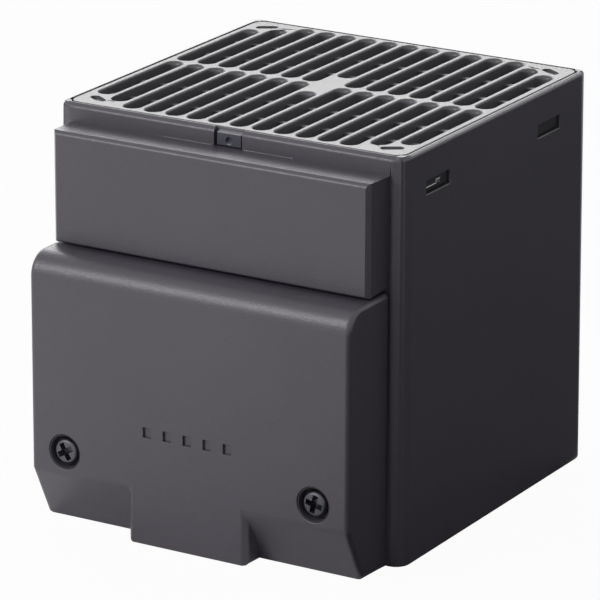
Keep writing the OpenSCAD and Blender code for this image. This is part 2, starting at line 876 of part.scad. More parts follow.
module fan_rotor() {
    tip_r = fan_bore_r - tip_gap;
    blade_z = (cup_z + cup_top) / 2;
    blade_reach = cup_top - cup_z;
    color(black_plastic)
    translate([0, mid_y, 0])
        difference() {
            union() {
                translate([0, 0, cup_z])
                    cylinder(r = hub_r, h = cup_top - cup_z);
                for (i = [0 : blade_count - 1])
                    rotate(i * 360 / blade_count)
                        intersection() {
                            translate([0, 0, cup_z])
                                cylinder(r = tip_r, h = blade_reach);
                            translate([hub_r - 2 * over, 0, blade_z])
                                rotate([blade_tilt, 0, 0])
                                    translate([0, -blade_chord / 2, -blade_t / 2])
                                        cube([tip_r, blade_chord, blade_t]);
                        }
            }
            difference() {
                translate([0, 0, cup_z + cup_t])
                    cylinder(r = hub_r - cup_t, h = cup_top);
                cylinder(r = bearing_r, h = cup_z + cup_t + shaft_boss_h);
            }
            translate([0, 0, cup_z + cup_t / 2])
                cylinder(r = shaft_r + thread_gap, h = cup_top);
        }
}

module rotor_shaft() {
    color(steel)
    translate([0, mid_y, cup_z + cup_t / 2])
        cylinder(r = shaft_r, h = fan_top - hub_disc_t - shaft_end_gap - cup_z - cup_t / 2);
}

module rotor_magnet() {
    color([0.25, 0.25, 0.27])
    translate([0, mid_y, cup_z + cup_t])
        difference() {
            cylinder(r = hub_r - cup_t - magnet_fit, h = cup_top - cup_z - cup_t - magnet_drop);
            translate([0, 0, -over])
                cylinder(r = magnet_inner, h = cup_top);
        }
}

module fan_screws() {
    color(steel)
    at_fan_holes()
        translate([0, 0, base_recess + fan_screw_sink])
            mirror([0, 0, 1])
                pan_screw(m4_head_r, m4_head_h, m4_r, fan_screw_l);
}

module heater_frame() {
    color(frame_beige)
    difference() {
        union() {
            translate([0, mid_y, boss_top])
                difference() {
                    span([-heater_w / 2, -heater_d / 2, 0], [heater_w / 2, heater_d / 2, heater_h]);
                    span([-stack_w / 2, -stack_d / 2, sill_h], [stack_w / 2, stack_d / 2, heater_h + over]);
                    span([sill_w - stack_w / 2, -stack_d / 2, -over],
                         [stack_w / 2 - sill_w, stack_d / 2, sill_h + over]);
                }
            for (s = [0, 1])
                mirror([s, 0, 0])
                    translate([0, mid_y, boss_top])
                        span([stack_w / 2 + over, -lug_l / 2, 0], [heater_w / 2 + lug_w, lug_l / 2, lug_t]);
        }
        for (s = [-1, 1])
            translate([s * lug_x, mid_y, boss_top - over]) {
                cylinder(r = m3_r + hole_gap, h = lug_t + 2 * over);
                translate([0, 0, over + lug_t])
                    cylinder(r = m3_head_r + hole_gap, h = heater_h);
            }
    }
}

module ptc_bars() {
    color(aluminium)
    for (i = [0 : bar_count - 1])
        translate([0, mid_y - stack_d / 2 + pack_d + i * stack_pitch, stack_z])
            span([-stack_w / 2, 0, 0], [stack_w / 2, ptc_t, stack_h]);
}

// A corrugated sheet across one gap of the stack, as a flat outline
module fin_outline() {
    folds = floor((stack_w - fin_t) / fin_pitch);
    run = folds * fin_pitch;
    crest = [for (i = [0 : folds]) [i * fin_pitch - run / 2, i % 2 == 0 ? fin_t : pack_d]];
    root = [for (i = [folds : -1 : 0]) [i * fin_pitch - run / 2, i % 2 == 0 ? 0 : pack_d - fin_t]];
    polygon(concat(crest, root));
}

module fin_packs() {
    color(aluminium)
    for (i = [0 : bar_count])
        translate([0, mid_y - stack_d / 2 + i * stack_pitch, stack_z])
            linear_extrude(stack_h)
                fin_outline();
}

// Y of a heating bar's front face, by its number
function bar_front_y(i) = mid_y - stack_d / 2 + pack_d + i * stack_pitch;

module heater_terminals() {
    color(brass)
    for (t = [[0, 0], [1, bar_count - 1]])
        translate([pole_xs[t[0]], bar_front_y(t[1]) + ptc_t / 2, stack_z + stack_h])
            span([-blade_tab_w / 2, -blade_tab_t / 2, 0], [blade_tab_w / 2, blade_tab_t / 2, blade_tab_h]);
}

module heater_screws() {
    color(steel)
    for (s = [-1, 1])
        translate([s * lug_x, mid_y, boss_top + lug_t])
            pan_screw(m3_head_r, m3_head_h, m3_r, heater_screw_l);
}

module thermal_cutout() {
    color(black_plastic)
    translate([0, mid_y + heater_d / 2 - rail_bar_t / 2, heater_top])
        span([-cutout_l / 2, -rail_bar_t / 2, 0], [cutout_l / 2, rail_bar_t / 2, cutout_h]);
}

module cutout_clip() {
    half = rail_bar_t / 2;
    color(steel)
    translate([0, mid_y + heater_d / 2 - rail_bar_t / 2, heater_top])
        difference() {
            span([-clip_l / 2, -half - clip_sheet, -clip_leg],
                 [clip_l / 2, half + clip_sheet, cutout_h + clip_sheet]);
            span([-clip_l, -half, -heater_h], [clip_l, half, cutout_h]);
        }
}

module terminal_block() {
    color(block_grey)
    difference() {
        union() {
            span([-block_w / 2, front_y - block_depth, block_z], [block_w / 2, front_y, block_z + block_h]);
            span([-block_w / 2 - lug_block_w, front_y - lug_block_t, block_lug_z - lug_block_w / 2],
                 [block_w / 2 + lug_block_w, front_y, block_lug_z + lug_block_w / 2]);
        }
        for (x = pole_xs) {
            translate([x, front_y - cage_p, 0]) {
                span([-cage_w / 2 - cage_gap, -cage_d / 2 - cage_gap, cage_z],
                     [cage_w / 2 + cage_gap, cage_d / 2 + cage_gap, block_z + block_h + over]);
                span([-wire_hole / 2, -wire_hole / 2, block_z - over],
                     [wire_hole / 2, wire_hole / 2, cage_z + over]);
            }
            on_front(x, cage_z + cage_h / 2, cage_p)
                cylinder(r = clamp_head_r + hole_gap, h = block_depth);
        }
        for (s = [-1, 1])
            on_front(s * block_lug_x, block_lug_z, -over)
                cylinder(r = m3_r + hole_gap, h = lug_block_t + 2 * over);
    }
}

module terminal_cages() {
    color(brass)
    for (x = pole_xs)
        difference() {
            translate([x, front_y - cage_p, cage_z])
                difference() {
                    span([-cage_w / 2, -cage_d / 2, 0], [cage_w / 2, cage_d / 2, cage_h]);
                    span([-wire_hole / 2, -wire_hole / 2, -over],
                         [wire_hole / 2, wire_hole / 2, cage_h - cage_roof]);
                }
            on_front(x, cage_z + cage_h / 2, cage_p)
                cylinder(r = m3_r + thread_gap, h = block_depth);
        }
}

module terminal_screws() {
    color(steel)
    for (x = pole_xs)
        on_front(x, cage_z + cage_h / 2, cage_p + cage_d / 2)
            rotate(clamp_turn)
                pan_screw(clamp_head_r, clamp_head_h, m3_r, clamp_l);
}

module block_screws() {
    color(steel)
    for (s = [-1, 1])
        on_front(s * block_lug_x, block_lug_z, lug_block_t)
            pan_screw(m3_head_r, m3_head_h, m3_r, block_screw_l);
}

// A round lead in the plane x = const, along points (distance behind the front wall, height)
function unit(v) = v / norm(v);
function lead_tangent(path, i) =
    unit(path[min(i + 1, len(path) - 1)] - path[max(i - 1, 0)]);
function lead_ring(path, i) =
    let (t = lead_tangent(path, i))
    [for (k = [0 : lead_sides - 1])
        let (a = k * 360 / lead_sides, u = lead_r * cos(a), v = lead_r * sin(a))
        [u, path[i][0] - v * t[1], path[i][1] + v * t[0]]];
module lead(x, path) {
    n = len(path);
    points = [for (i = [0 : n - 1]) each lead_ring(path, i)];
    sides = [for (i = [0 : n - 2], k = [0 : lead_sides - 1])
        let (a = i * lead_sides + k, b = i * lead_sides + (k + 1) % lead_sides)
        [a, b, b + lead_sides, a + lead_sides]];
    first = [for (k = [lead_sides - 1 : -1 : 0]) k];
    last = [for (k = [0 : lead_sides - 1]) (n - 1) * lead_sides + k];
    translate([x, front_y, 0])
        polyhedron(points, concat(sides, [first, last]));
}

module heater_leads() {
    tab_z = heater_top + lead_bend - lead_r / 2;
    over_z = max(lead_mid_z, heater_top) + lead_bend - lead_r / 2;
    over_frame = [
        [lead_gap_y - lead_bend / 6, lead_mid_z + lead_r / 2],
        [lead_gap_y, over_z - lead_bend * 2 / 3],
        [lead_gap_y + lead_bend, over_z - lead_r / 2],
        [lead_gap_y + 2 * lead_bend, over_z]
    ];
    color([0.75, 0.12, 0.1])
    for (t = [[0, 0], [1, bar_count - 1]])
        lead(pole_xs[t[0]], concat(lead_rise, over_frame,
            [[bar_front_y(t[1]) + ptc_t / 2 - blade_tab_t / 2 - front_y, tab_z]]));
}

module fan_leads() {
    down = [
        [lead_gap_y, lead_mid_z - lead_bend / 2],
        [lead_gap_y, lead_mid_z - 2 * lead_bend],
        [lead_gap_y, boss_top - lead_bend / 2]
    ];
    color([0.15, 0.2, 0.6])
    for (x = fan_lead_xs)
        lead(x, concat(lead_rise, down,
            [[flange_mid(x), shelf_top + lead_bend / 2], [flange_mid(x), fan_top]]));
}

module rail_clip() {
    half = clip_w / 2;
    color(black_plastic)
    difference() {
        union() {
            span([-half, back_y, clip_bottom], [half, seat_y, clip_top]);
            span([-half, seat_y - over, upper_hook_z], [half, hook_y, clip_top]);
            span([-half, hook_y - lip_t, upper_hook_z - hook_clear - lip_reach], [half, hook_y, clip_top]);
        }
        difference() {
            union() {
                span([-guide_w / 2 - latch_gap, back_y + guide_floor, clip_bottom - over],
                     [guide_w / 2 + latch_gap,
                      back_y + guide_floor + guide_flange_t + 2 * latch_gap, guide_top]);
                span([-neck_w / 2 - latch_gap, back_y + guide_floor, clip_bottom - over],
                     [neck_w / 2 + latch_gap, seat_y + over, guide_top]);
            }
            span([peg_gap - pocket_w / 2, back_y, spring_z - peg_h],
                 [pocket_w / 2 - peg_gap, seat_y - peg_gap, spring_z]);
        }
        for (s = [-1, 1])
            translate([s * clip_screw_x, seat_y, rail_z])
                rotate([90, 0, 0])
                    translate([0, 0, -over]) {
                        cylinder(r = m4_r + hole_gap, h = clip_t + 2 * over);
                        cylinder(r = m4_head_r + hole_gap, h = clip_head_sink + over);
                    }
    }
}

module rail_latch() {
    flange_y = back_y + guide_floor + latch_gap;
    neck_y = flange_y + guide_flange_t;
    face_y = seat_y - latch_gap;
    nose_top = lower_edge_z - hook_clear;
    color([0.2, 0.2, 0.21])
    difference() {
        union() {
            span([-guide_w / 2, flange_y, latch_bottom], [guide_w / 2, neck_y, guide_top - latch_gap]);
            span([-neck_w / 2, neck_y - over / 2, latch_bottom], [neck_w / 2, face_y, guide_top - latch_gap]);
            span([-neck_w / 2, neck_y - over / 2, nose_top - nose_h], [neck_w / 2, hook_y, nose_top]);
            span([-neck_w / 2, hook_y - lip_t, nose_top - nose_h],
                 [neck_w / 2, hook_y, nose_top + hook_clear + lip_reach]);
        }
        span([-pocket_w / 2, back_y, pocket_z], [pocket_w / 2, hook_y + over, pocket_top]);
        span([-neck_w / 4, back_y, latch_bottom + pull_slot_rise],
             [neck_w / 4, hook_y, latch_bottom + pull_slot_rise + pull_slot_h]);
    }
}

// A round wire swept along a helix about Z
module coil(coil_r, wire_r, height, turns) {
    steps = 16;
    sides = 8;
    n = turns * steps;
    points = [for (i = [0 : n], k = [0 : sides - 1])
        let (a = i * 360 / steps, b = k * 360 / sides, r = coil_r + wire_r * cos(b))
        [r * cos(a), r * sin(a), wire_r + (height - 2 * wire_r) * i / n + wire_r * sin(b)]];
    skin = [for (i = [0 : n - 1], k = [0 : sides - 1])
        let (a = i * sides + k, b = i * sides + (k + 1) % sides)
        [a, a + sides, b + sides, b]];
    first = [for (k = [0 : sides - 1]) k];
    last = [for (k = [sides - 1 : -1 : 0]) n * sides + k];
    polyhedron(points, concat(skin, [first, last]));
}

module latch_spring() {
    spring_gap = 0.1;
    color(steel)
    translate([0, (back_y + guide_floor + seat_y) / 2, spring_z + spring_gap])
        coil(spring_r, spring_wire_r, pocket_top - spring_z - 2 * spring_gap, spring_turns);
}

module clip_screws() {
    color(steel)
    for (s = [-1, 1])
        translate([s * clip_screw_x, seat_y - clip_head_sink, rail_z])
            rotate([-90, 0, 0])
                pan_screw(m4_head_r, m4_head_h, m4_r, clip_screw_l);
}

casing();
outlet_grille();
terminal_cover();
cover_screws();
cable_grommet();
intake_grille();
fan_frame();
fan_stator();
stator_coils();
fan_bearings();
fan_rotor();
rotor_shaft();
rotor_magnet();
fan_screws();
heater_frame();
ptc_bars();
fin_packs();
heater_terminals();
heater_screws();
thermal_cutout();
cutout_clip();
terminal_block();
terminal_cages();
terminal_screws();
block_screws();
heater_leads();
fan_leads();
rail_clip();
rail_latch();
latch_spring();
clip_screws();
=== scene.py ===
# %% [markdown]
# # A cabinet fan heater, dressed for its picture
# The part is a square plastic duct with a slotted grille on top, a fan and a heating stack inside, and a
# cover over its terminals at the front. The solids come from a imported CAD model, which is loaded as a
# fixed frame. Blender adds what a moulding shop would: rounded edges, moulded grain, metal and light.

import math
from contextlib import contextmanager
from functools import partial

import bmesh
import bpy
from mathutils import Matrix, Vector


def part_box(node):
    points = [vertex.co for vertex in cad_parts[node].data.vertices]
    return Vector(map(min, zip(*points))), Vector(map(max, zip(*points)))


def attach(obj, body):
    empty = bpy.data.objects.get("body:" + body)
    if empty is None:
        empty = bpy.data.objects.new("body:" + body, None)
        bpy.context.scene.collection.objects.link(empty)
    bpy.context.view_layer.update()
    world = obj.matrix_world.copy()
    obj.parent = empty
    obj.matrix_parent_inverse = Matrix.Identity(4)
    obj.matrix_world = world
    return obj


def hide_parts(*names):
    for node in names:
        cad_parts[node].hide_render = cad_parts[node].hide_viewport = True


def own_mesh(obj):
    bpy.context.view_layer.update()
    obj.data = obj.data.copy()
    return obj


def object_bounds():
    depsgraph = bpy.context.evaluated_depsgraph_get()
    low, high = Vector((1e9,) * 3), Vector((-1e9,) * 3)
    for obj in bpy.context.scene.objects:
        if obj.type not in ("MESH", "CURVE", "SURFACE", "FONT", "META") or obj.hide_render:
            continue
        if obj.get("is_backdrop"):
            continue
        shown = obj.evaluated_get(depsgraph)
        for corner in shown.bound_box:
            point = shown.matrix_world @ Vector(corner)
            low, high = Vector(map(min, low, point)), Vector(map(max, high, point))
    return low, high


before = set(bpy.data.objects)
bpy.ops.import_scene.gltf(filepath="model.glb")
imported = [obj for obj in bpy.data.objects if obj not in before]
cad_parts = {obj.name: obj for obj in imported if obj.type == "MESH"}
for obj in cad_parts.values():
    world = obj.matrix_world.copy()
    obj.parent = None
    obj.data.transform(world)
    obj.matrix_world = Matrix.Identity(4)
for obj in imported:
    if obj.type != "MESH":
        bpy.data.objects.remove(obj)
cad_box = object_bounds()
scene = bpy.context.scene
scene.view_settings.view_transform = "Standard"
MM = 0.001

# %% [markdown]
# ## Sizes that the pieces share
# Most sizes are read from the frame's boxes, so a piece always fits the solid that it stands for. The
# step from the front wall to the raised panel is not in any box, so it is named here, in millimetres.

# %% Read the boxes, in millimetres
PANEL_OUT = 8.1


def box_mm(node):
    return [[v / MM for v in corner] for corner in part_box(node)]


half_w, back_y, rim_z = box_mm("casing")[1]
cover_low, cover_high = box_mm("terminal_cover")
cover_half, front_y, _ = cover_high
cover_y = cover_low[1]
mid_y = (front_y + back_y) / 2
panel_y = front_y - PANEL_OUT
print(f"casing {2 * half_w:.1f} x {back_y - front_y:.1f} x {rim_z:.1f} mm, front wall at y {front_y:.2f}")

# %% [markdown]
# ## Shared finishes
# Moulded plastic is never one flat tone: its mould leaves a fine grain, and the tone drifts a little over a
# large face.
# The small sparkles of light on the grain are painted glints: specks of a lighter colour, set by a Voronoi
# mask.
# Several materials need this, so it is one node group. A second group makes the fine drawn lines of metal.
# Both read Object coordinates, in metres.

# %% Helpers for node trees
COLUMNS = 9
SIGNS = {"+": "ADD", "-": "SUBTRACT", "*": "MULTIPLY", "/": "DIVIDE"}


def feed(tree, value, socket):
    """Links an output to a socket, or sets a plain value on it."""
    if isinstance(value, bpy.types.NodeSocket):
        tree.links.new(value, socket)
    else:
        socket.default_value = value


def add(tree, kind, inputs=None, out=0, **settings):
    """Adds a node with its settings, feeds its inputs by name or number and returns one output."""
    node = tree.nodes.new(kind)
    row, column = divmod(len(tree.nodes), COLUMNS)
    node.location = (220 * column, -300 * row)
    for key, value in settings.items():
        setattr(node, key, value)
    for key, value in (inputs or {}).items():
        feed(tree, value, node.inputs[key])
    return node.outputs[out] if len(node.outputs) else node


def maths(tree, operation, first, second=0.0):
    """A Math node, by a sign or by the operation's name."""
    return add(tree, "ShaderNodeMath", {0: first, 1: second}, operation=SIGNS.get(operation, operation))


def spread(tree, source, low, high, to_low, to_high):
    """Maps a value from one range to another, clamped."""
    return add(tree, "ShaderNodeMapRange", {0: source, 1: low, 2: high, 3: to_low, 4: to_high})


print("node helpers ready")


# %% The grain and drawn-metal groups
def new_tree(name, kind, inputs, outputs):
    """A node group with named sockets of given kinds; returns it with its inputs and outputs."""
    tree = bpy.data.node_groups.new(name, kind)
    for way, sockets in (("INPUT", inputs), ("OUTPUT", outputs)):
        for socket, held in sockets.items():
            tree.interface.new_socket(name=socket, in_out=way, socket_type="NodeSocket" + held)
    given = {s.name: s for s in tree.nodes.new("NodeGroupInput").outputs}
    return tree, given, tree.nodes.new("NodeGroupOutput").inputs


def floats(*names):
    return dict.fromkeys(names, "Float")


def make_grain_and_glints():
    ends = floats("Grain Scale", "Drift Scale"), floats("Height", "Tone", "Painted Glints", "Gloss")
    tree, given, out = new_tree("Moulded grain, painted glints", "ShaderNodeTree", *ends)
    place = add(tree, "ShaderNodeTexCoord", out="Object")
    grain = {"Vector": place, "Scale": given["Grain Scale"]}
    drift = {"Vector": place, "Scale": given["Drift Scale"], "Detail": 4.0, "Roughness": 0.55}
    fine = add(tree, "ShaderNodeTexNoise", {**grain, "Detail": 3.0, "Roughness": 0.65})
    tone = add(tree, "ShaderNodeTexNoise", drift)
    # The Voronoi cells make the mask of painted glints: specks where a lighter colour stands in for sparkles
    # of light.
    glint_cells = add(tree, "ShaderNodeTexVoronoi", grain)
    feed(tree, fine, out["Height"])
    feed(tree, spread(tree, tone, 0.3, 0.7, 0.93, 1.07), out["Tone"])
    feed(tree, spread(tree, glint_cells, 0.06, 0.22, 1.0, 0.0), out["Painted Glints"])
    feed(tree, spread(tree, fine, 0.3, 0.7, -0.06, 0.06), out["Gloss"])
    return tree


def make_drawn():
    """Lines along Z: the place is squeezed along Z before it goes into the noise."""
    ends = floats("Line Scale", "Stretch"), floats("Height", "Tone", "Gloss")
    tree, given, out = new_tree("Drawn metal", "ShaderNodeTree", *ends)
    place = add(tree, "ShaderNodeTexCoord", out="Object")
    over = maths(tree, "/", 1.0, given["Stretch"])
    squeeze = add(tree, "ShaderNodeCombineXYZ", {0: 1.0, 1: 1.0, 2: over})
    drawn = add(tree, "ShaderNodeVectorMath", {0: place, 1: squeeze}, operation="MULTIPLY")
    look = {"Vector": drawn, "Scale": given["Line Scale"], "Detail": 4.0, "Roughness": 0.6}
    lines = add(tree, "ShaderNodeTexNoise", look)
    feed(tree, lines, out["Height"])
    feed(tree, spread(tree, lines, 0.3, 0.7, 0.85, 1.1), out["Tone"])
    feed(tree, spread(tree, lines, 0.3, 0.7, -0.08, 0.1), out["Gloss"])
    return tree


grain_and_glints_group = make_grain_and_glints()
drawn_group = make_drawn()
print("node groups:", grain_and_glints_group.name, "and", drawn_group.name)

# %% [markdown]
# ## Materials
# Each material keeps its own Principled shader and sets its plain numbers on it. What changes over the
# surface comes from a group: the tone multiplies the base colour, the gloss is added to the roughness, and
# the height goes through a Bump node. Colours are written in sRGB, as a colour picker shows them.


# %% How a material is put together
def linear(rgb):
    return [c / 12.92 if c <= 0.04045 else ((c + 0.055) / 1.055) ** 2.4 for c in (v / 255 for v in rgb)] + [1]


def start_material(name, group, values, rough, metal, bump, depth):
    """Starts a material with one finish group, its relief depth in mm.

    Returns it with its tree, the shader's inputs and the group's outputs.
    """
    material = bpy.data.materials.new(name)
    material.use_nodes = True
    tree = material.node_tree
    shader = tree.nodes["Principled BSDF"].inputs
    shader["Metallic"].default_value = metal
    finish = add(tree, "ShaderNodeGroup", values, node_tree=group).node.outputs
    feed(tree, maths(tree, "+", finish["Gloss"], rough), shader["Roughness"])
    relief = {"Strength": bump, "Distance": depth * MM, "Height": finish["Height"]}
    feed(tree, add(tree, "ShaderNodeBump", relief), shader["Normal"])
    return material, tree, shader, finish


def toned(tree, finish, colour, shader):
    """Multiplies a colour by the finish group's tone and feeds the base colour."""
    tint = {0: colour, "Scale": finish["Tone"]}
    feed(tree, add(tree, "ShaderNodeVectorMath", tint, operation="SCALE"), shader["Base Color"])


def mixed(tree, mask, first, second):
    """A colour that goes from the first to the second as the mask rises."""
    return add(tree, "ShaderNodeMix", {0: mask, 6: first, 7: second}, out=2, data_type="RGBA")


def plastic(name, colour, rough=0.45, grain=2600, bump=0.25, depth=0.06, specular=0.5):
    values = {"Grain Scale": grain, "Drift Scale": 28}
    material, tree, shader, finish = start_material(name, grain_and_glints_group, values, rough, 0.0, bump, depth)
    shader["Specular IOR Level"].default_value = specular
    # Painted glints: a lighter copy of the colour, laid on in specks by the glint mask.
    bright = linear([min(255, c * 1.3) for c in colour])
    toned(tree, finish, mixed(tree, finish["Painted Glints"], linear(colour), bright), shader)
    return material


def metal(name, colour, rough=0.35, scale=900, stretch=30):
    values = {"Line Scale": scale, "Stretch": stretch}
    material, tree, shader, finish = start_material(name, drawn_group, values, rough, 1.0, 0.08, 0.03)
    toned(tree, finish, linear(colour)[:3], shader)
    return material


print("finishes ready")

# %% Plastics and metals
casing_plastic = plastic("casing plastic", (86, 81, 92), 0.35, 2400, bump=0.8, depth=0.09, specular=0.9)
black_plastic = plastic("black fan plastic", (38, 38, 41), 0.4)
frame_plastic = plastic("heat-proof frame plastic", (186, 176, 152), 0.5)
block_plastic = plastic("terminal block plastic", (128, 132, 136))
clip_plastic = plastic("rail clip plastic", (46, 45, 49), 0.42)
latch_plastic = plastic("latch plastic", (62, 61, 65), 0.4)
tab_plastic = plastic("tab plastic", (92, 92, 104), 0.36)
# Painted sheen for the tab's upward faces: a pale colour standing in for the light that they mirror.
tab_top_painted_sheen_plastic = plastic("tab top painted sheen", (178, 177, 184), 0.34)
well_plastic = plastic("screw well plastic", (84, 82, 88), 0.6, specular=0.25)
rubber = plastic("grommet rubber", (32, 32, 34), 0.62, 1800, bump=0.35)
red_sleeve = plastic("red lead sleeve", (165, 38, 34), 0.38, 1500, bump=0.1)
blue_sleeve = plastic("blue lead sleeve", (48, 62, 138), 0.38, 1500, bump=0.1)
magnet_black = plastic("bonded magnet", (54, 54, 58), 0.5, 3200)
dark_steel = metal("blackened screw steel", (104, 104, 110), 0.46)
bright_steel = metal("bright steel", (176, 176, 180), 0.3)
core_steel = metal("laminated core steel", (140, 140, 146), 0.4, 5200, 0.02)
copper = metal("copper winding", (196, 118, 72), 0.32, 4200, 0.05)
aluminium = metal("heater aluminium", (206, 208, 210), 0.34, 1200)
brass = metal("terminal brass", (200, 164, 92), 0.3)
spring_steel = metal("spring steel", (150, 150, 156), 0.28)
print("materials:", len(bpy.data.materials))

# %% [markdown]
# ## The grille's painted sheen
# The grille's top is pale grey and the walls of its slots are darker. Most of that is light. The top mirrors
# a lamp behind it, and its pale grey colour with painted glints is painted sheen on top of that. Little light
# reaches the walls, so they get a colour lighter than the top's base, which is painted light too. The
# object-space normal says which way a face looks, and a soft threshold on its Z part mixes the two. Painting
# faces one by one would leave hard borders on the rounded bars.


# %% Grille material
def make_grille_material():
    values = {"Grain Scale": 2000, "Drift Scale": 24}
    started = start_material("grille plastic, painted sheen", grain_and_glints_group, values, 0.34, 0.0, 0.3, 0.05)
    material, tree, shader, finish = started
    facing = add(tree, "ShaderNodeTexCoord", out="Normal")
    # Painted light by facing: upward faces get the pale top colour, which is painted sheen with painted
    # glints; the slot walls get a colour lighter than the top's base, painted light where little light
    # reaches.
    painted_light_mask = spread(tree, add(tree, "ShaderNodeSeparateXYZ", {0: facing}, out=2), 0.55, 0.9, 0.0, 1.0)
    top = mixed(tree, finish["Painted Glints"], linear((112, 111, 115)), linear((150, 149, 153)))
    toned(tree, finish, mixed(tree, painted_light_mask, linear((128, 126, 132)), top), shader)
    return material


grille_painted_sheen_plastic = make_grille_material()
print("made", grille_painted_sheen_plastic.name)

# %% [markdown]
# ## Helpers for meshes
# A CAD node arrives as loose triangles. A copy is welded and its flat areas are dissolved into single
# faces, so that only true edges remain. Those edges can then be rounded by the Bevel modifier, each by its
# own width: the width goes into the edge's bevel weight, and a rule picks it from the edge's place.

# %% Weld a copy of a solid
FLAT_ANGLE = math.radians(0.4)


def link(name, mesh):
    piece = bpy.data.objects.new(name, mesh)
    scene.collection.objects.link(piece)
    return piece


def mesh_piece(bm, name):
    """Turns a working mesh into a linked object."""
    mesh = bpy.data.meshes.new(name)
    bm.to_mesh(mesh)
    bm.free()
    return link(name, mesh)


@contextmanager
def editing(mesh):
    """Opens a mesh for work and writes it back."""
    bm = bmesh.new()
    bm.from_mesh(mesh)
    yield bm
    bm.to_mesh(mesh)
    bm.free()


def welded_copy(node, name):
    """A copy of a CAD node's mesh, welded and with flat areas as single faces."""
    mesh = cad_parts[node].data.copy()
    mesh.name = name
    mesh.materials.clear()
    if "custom_normal" in mesh.attributes:
        mesh.attributes.remove(mesh.attributes["custom_normal"])
    with editing(mesh) as bm:
        bmesh.ops.remove_doubles(bm, verts=bm.verts, dist=2e-6)
        bmesh.ops.dissolve_limit(bm, angle_limit=FLAT_ANGLE, verts=bm.verts, edges=bm.edges)
    return link(name, mesh)


print("weld helpers ready")

# %% Pick, chamfer and weigh edges
WIDEST = 2.0
TRUE_EDGE = math.radians(12)


def near(value, target, slack=0.03):
    return abs(value - target) < slack


def both(ends, axis, target):
    return near(ends[0][axis], target) and near(ends[1][axis], target)


def either(ends, x):
    """Whether an edge lies at this distance to the left or to the right."""
    return both(ends, 0, x) or both(ends, 0, -x)


def true_edges(bm):
    """Each edge between two faces at an angle, with its ends in mm and the normals beside it."""
    for edge in bm.edges:
        normals = [f.normal.copy() for f in edge.link_faces]
        if len(normals) == 2 and normals[0].angle(normals[1], 0) >= TRUE_EDGE:
            yield edge, [v.co / MM for v in edge.verts], normals


def chamfer_edges(piece, width, pick):
    """Cuts a flat chamfer along the edges that a rule picks."""
    with editing(piece.data) as bm:
        chosen = [edge for edge, ends, normals in true_edges(bm) if pick(ends, normals)]
        print(piece.name, "edges chamfered:", len(chosen))
        bmesh.ops.bevel(bm, geom=chosen, offset=width * MM, offset_type="OFFSET", segments=1, profile=0.5,
                        affect="EDGES", clamp_overlap=False)


def weigh_edges(piece, rule):
    """Gives each edge the bevel width, in mm, that a rule returns for it."""
    count = 0
    with editing(piece.data) as bm:
        layers = bm.edges.layers.float
        weight = layers.get("bevel_weight_edge") or layers.new("bevel_weight_edge")
        for edge, ends, normals in true_edges(bm):
            width = rule(ends, normals, edge.is_convex)
            edge[weight] = width / WIDEST
            count += width > 0
    print(piece.name, "edges to round:", count)


# %% Round edges and settle a piece
def plain_mesh(piece):
    """Replaces a piece's live modifiers by the mesh that they give."""
    graph = bpy.context.evaluated_depsgraph_get()
    result = bpy.data.meshes.new_from_object(
        piece.evaluated_get(graph), preserve_all_data_layers=True, depsgraph=graph
    )
    old = piece.data
    piece.modifiers.clear()
    piece.data = result
    bpy.data.meshes.remove(old)
    return piece


def smooth(piece, degrees):
    piece.data.shade_smooth()
    piece.data.set_sharp_from_angle(angle=math.radians(degrees))


def round_edges(piece, segments=3, by_angle=None, width=WIDEST):
    """Rounds the weighted edges, or all edges sharper than by_angle, and keeps flat faces flat."""
    bevel = piece.modifiers.new("Round edges", "BEVEL")
    bevel.width = width * MM
    bevel.segments = segments
    bevel.use_clamp_overlap = False
    bevel.loop_slide = False
    bevel.limit_method = "WEIGHT" if by_angle is None else "ANGLE"
    if by_angle is not None:
        bevel.angle_limit = math.radians(by_angle)
    smooth(plain_mesh(piece), 40)
    level = piece.modifiers.new("Flat faces", "WEIGHTED_NORMAL")
    level.keep_sharp = True
    level.weight = 80
    return plain_mesh(piece)


def settle(piece, body="housing", node=None):
    """Hides the CAD node that a piece stands for, if one is given, and hangs the piece on the body that
    carries it.
    """
    if node:
        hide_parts(node)
    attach(piece, body)
    print(piece.name, "rides on", body, "faces:", len(piece.data.polygons))


# %% [markdown]
# ## The casing
# The duct is one moulding with a raised panel on its front. To leave its mould it leans inwards a little
# towards the top, which is called draft. Its rim and the panel's top have a chamfer, and a narrow flat band
# runs down each side of the panel. A welded copy of the solid keeps every hole and boss inside. The flat
# chamfers are cut first, a rule gives each edge its width, the draft moves the points, and the bevel is last.

# %% Rules for the casing's edges
PANEL_HALF = 44.7
PANEL_LOW = 70.8
LEDGE_Z = 98.4
RIM_CHAMFER = 0.95
PANEL_CHAMFER = 0.85
SIDE_BAND = 1.15
UPRIGHT = 0.3
WINDOW_FROM = 80
CASING_ROUND = {"rim": 0.1, "rim foot": 0.4, "outer foot": 0.8, "inner foot": 0.3, "panel top": 0.42,
                "panel low": 0.6, "panel side": 0.2, "panel root": 0.4, "window": 0.25}


def outward_side(ends, normals):
    """Whether one of the faces beside an edge is an upright wall that looks away from the duct's middle."""
    x, y, _ = (ends[0] + ends[1]) / 2
    return any(abs(n.z) < UPRIGHT and n.x * x + n.y * (y - mid_y) > 0 for n in normals)


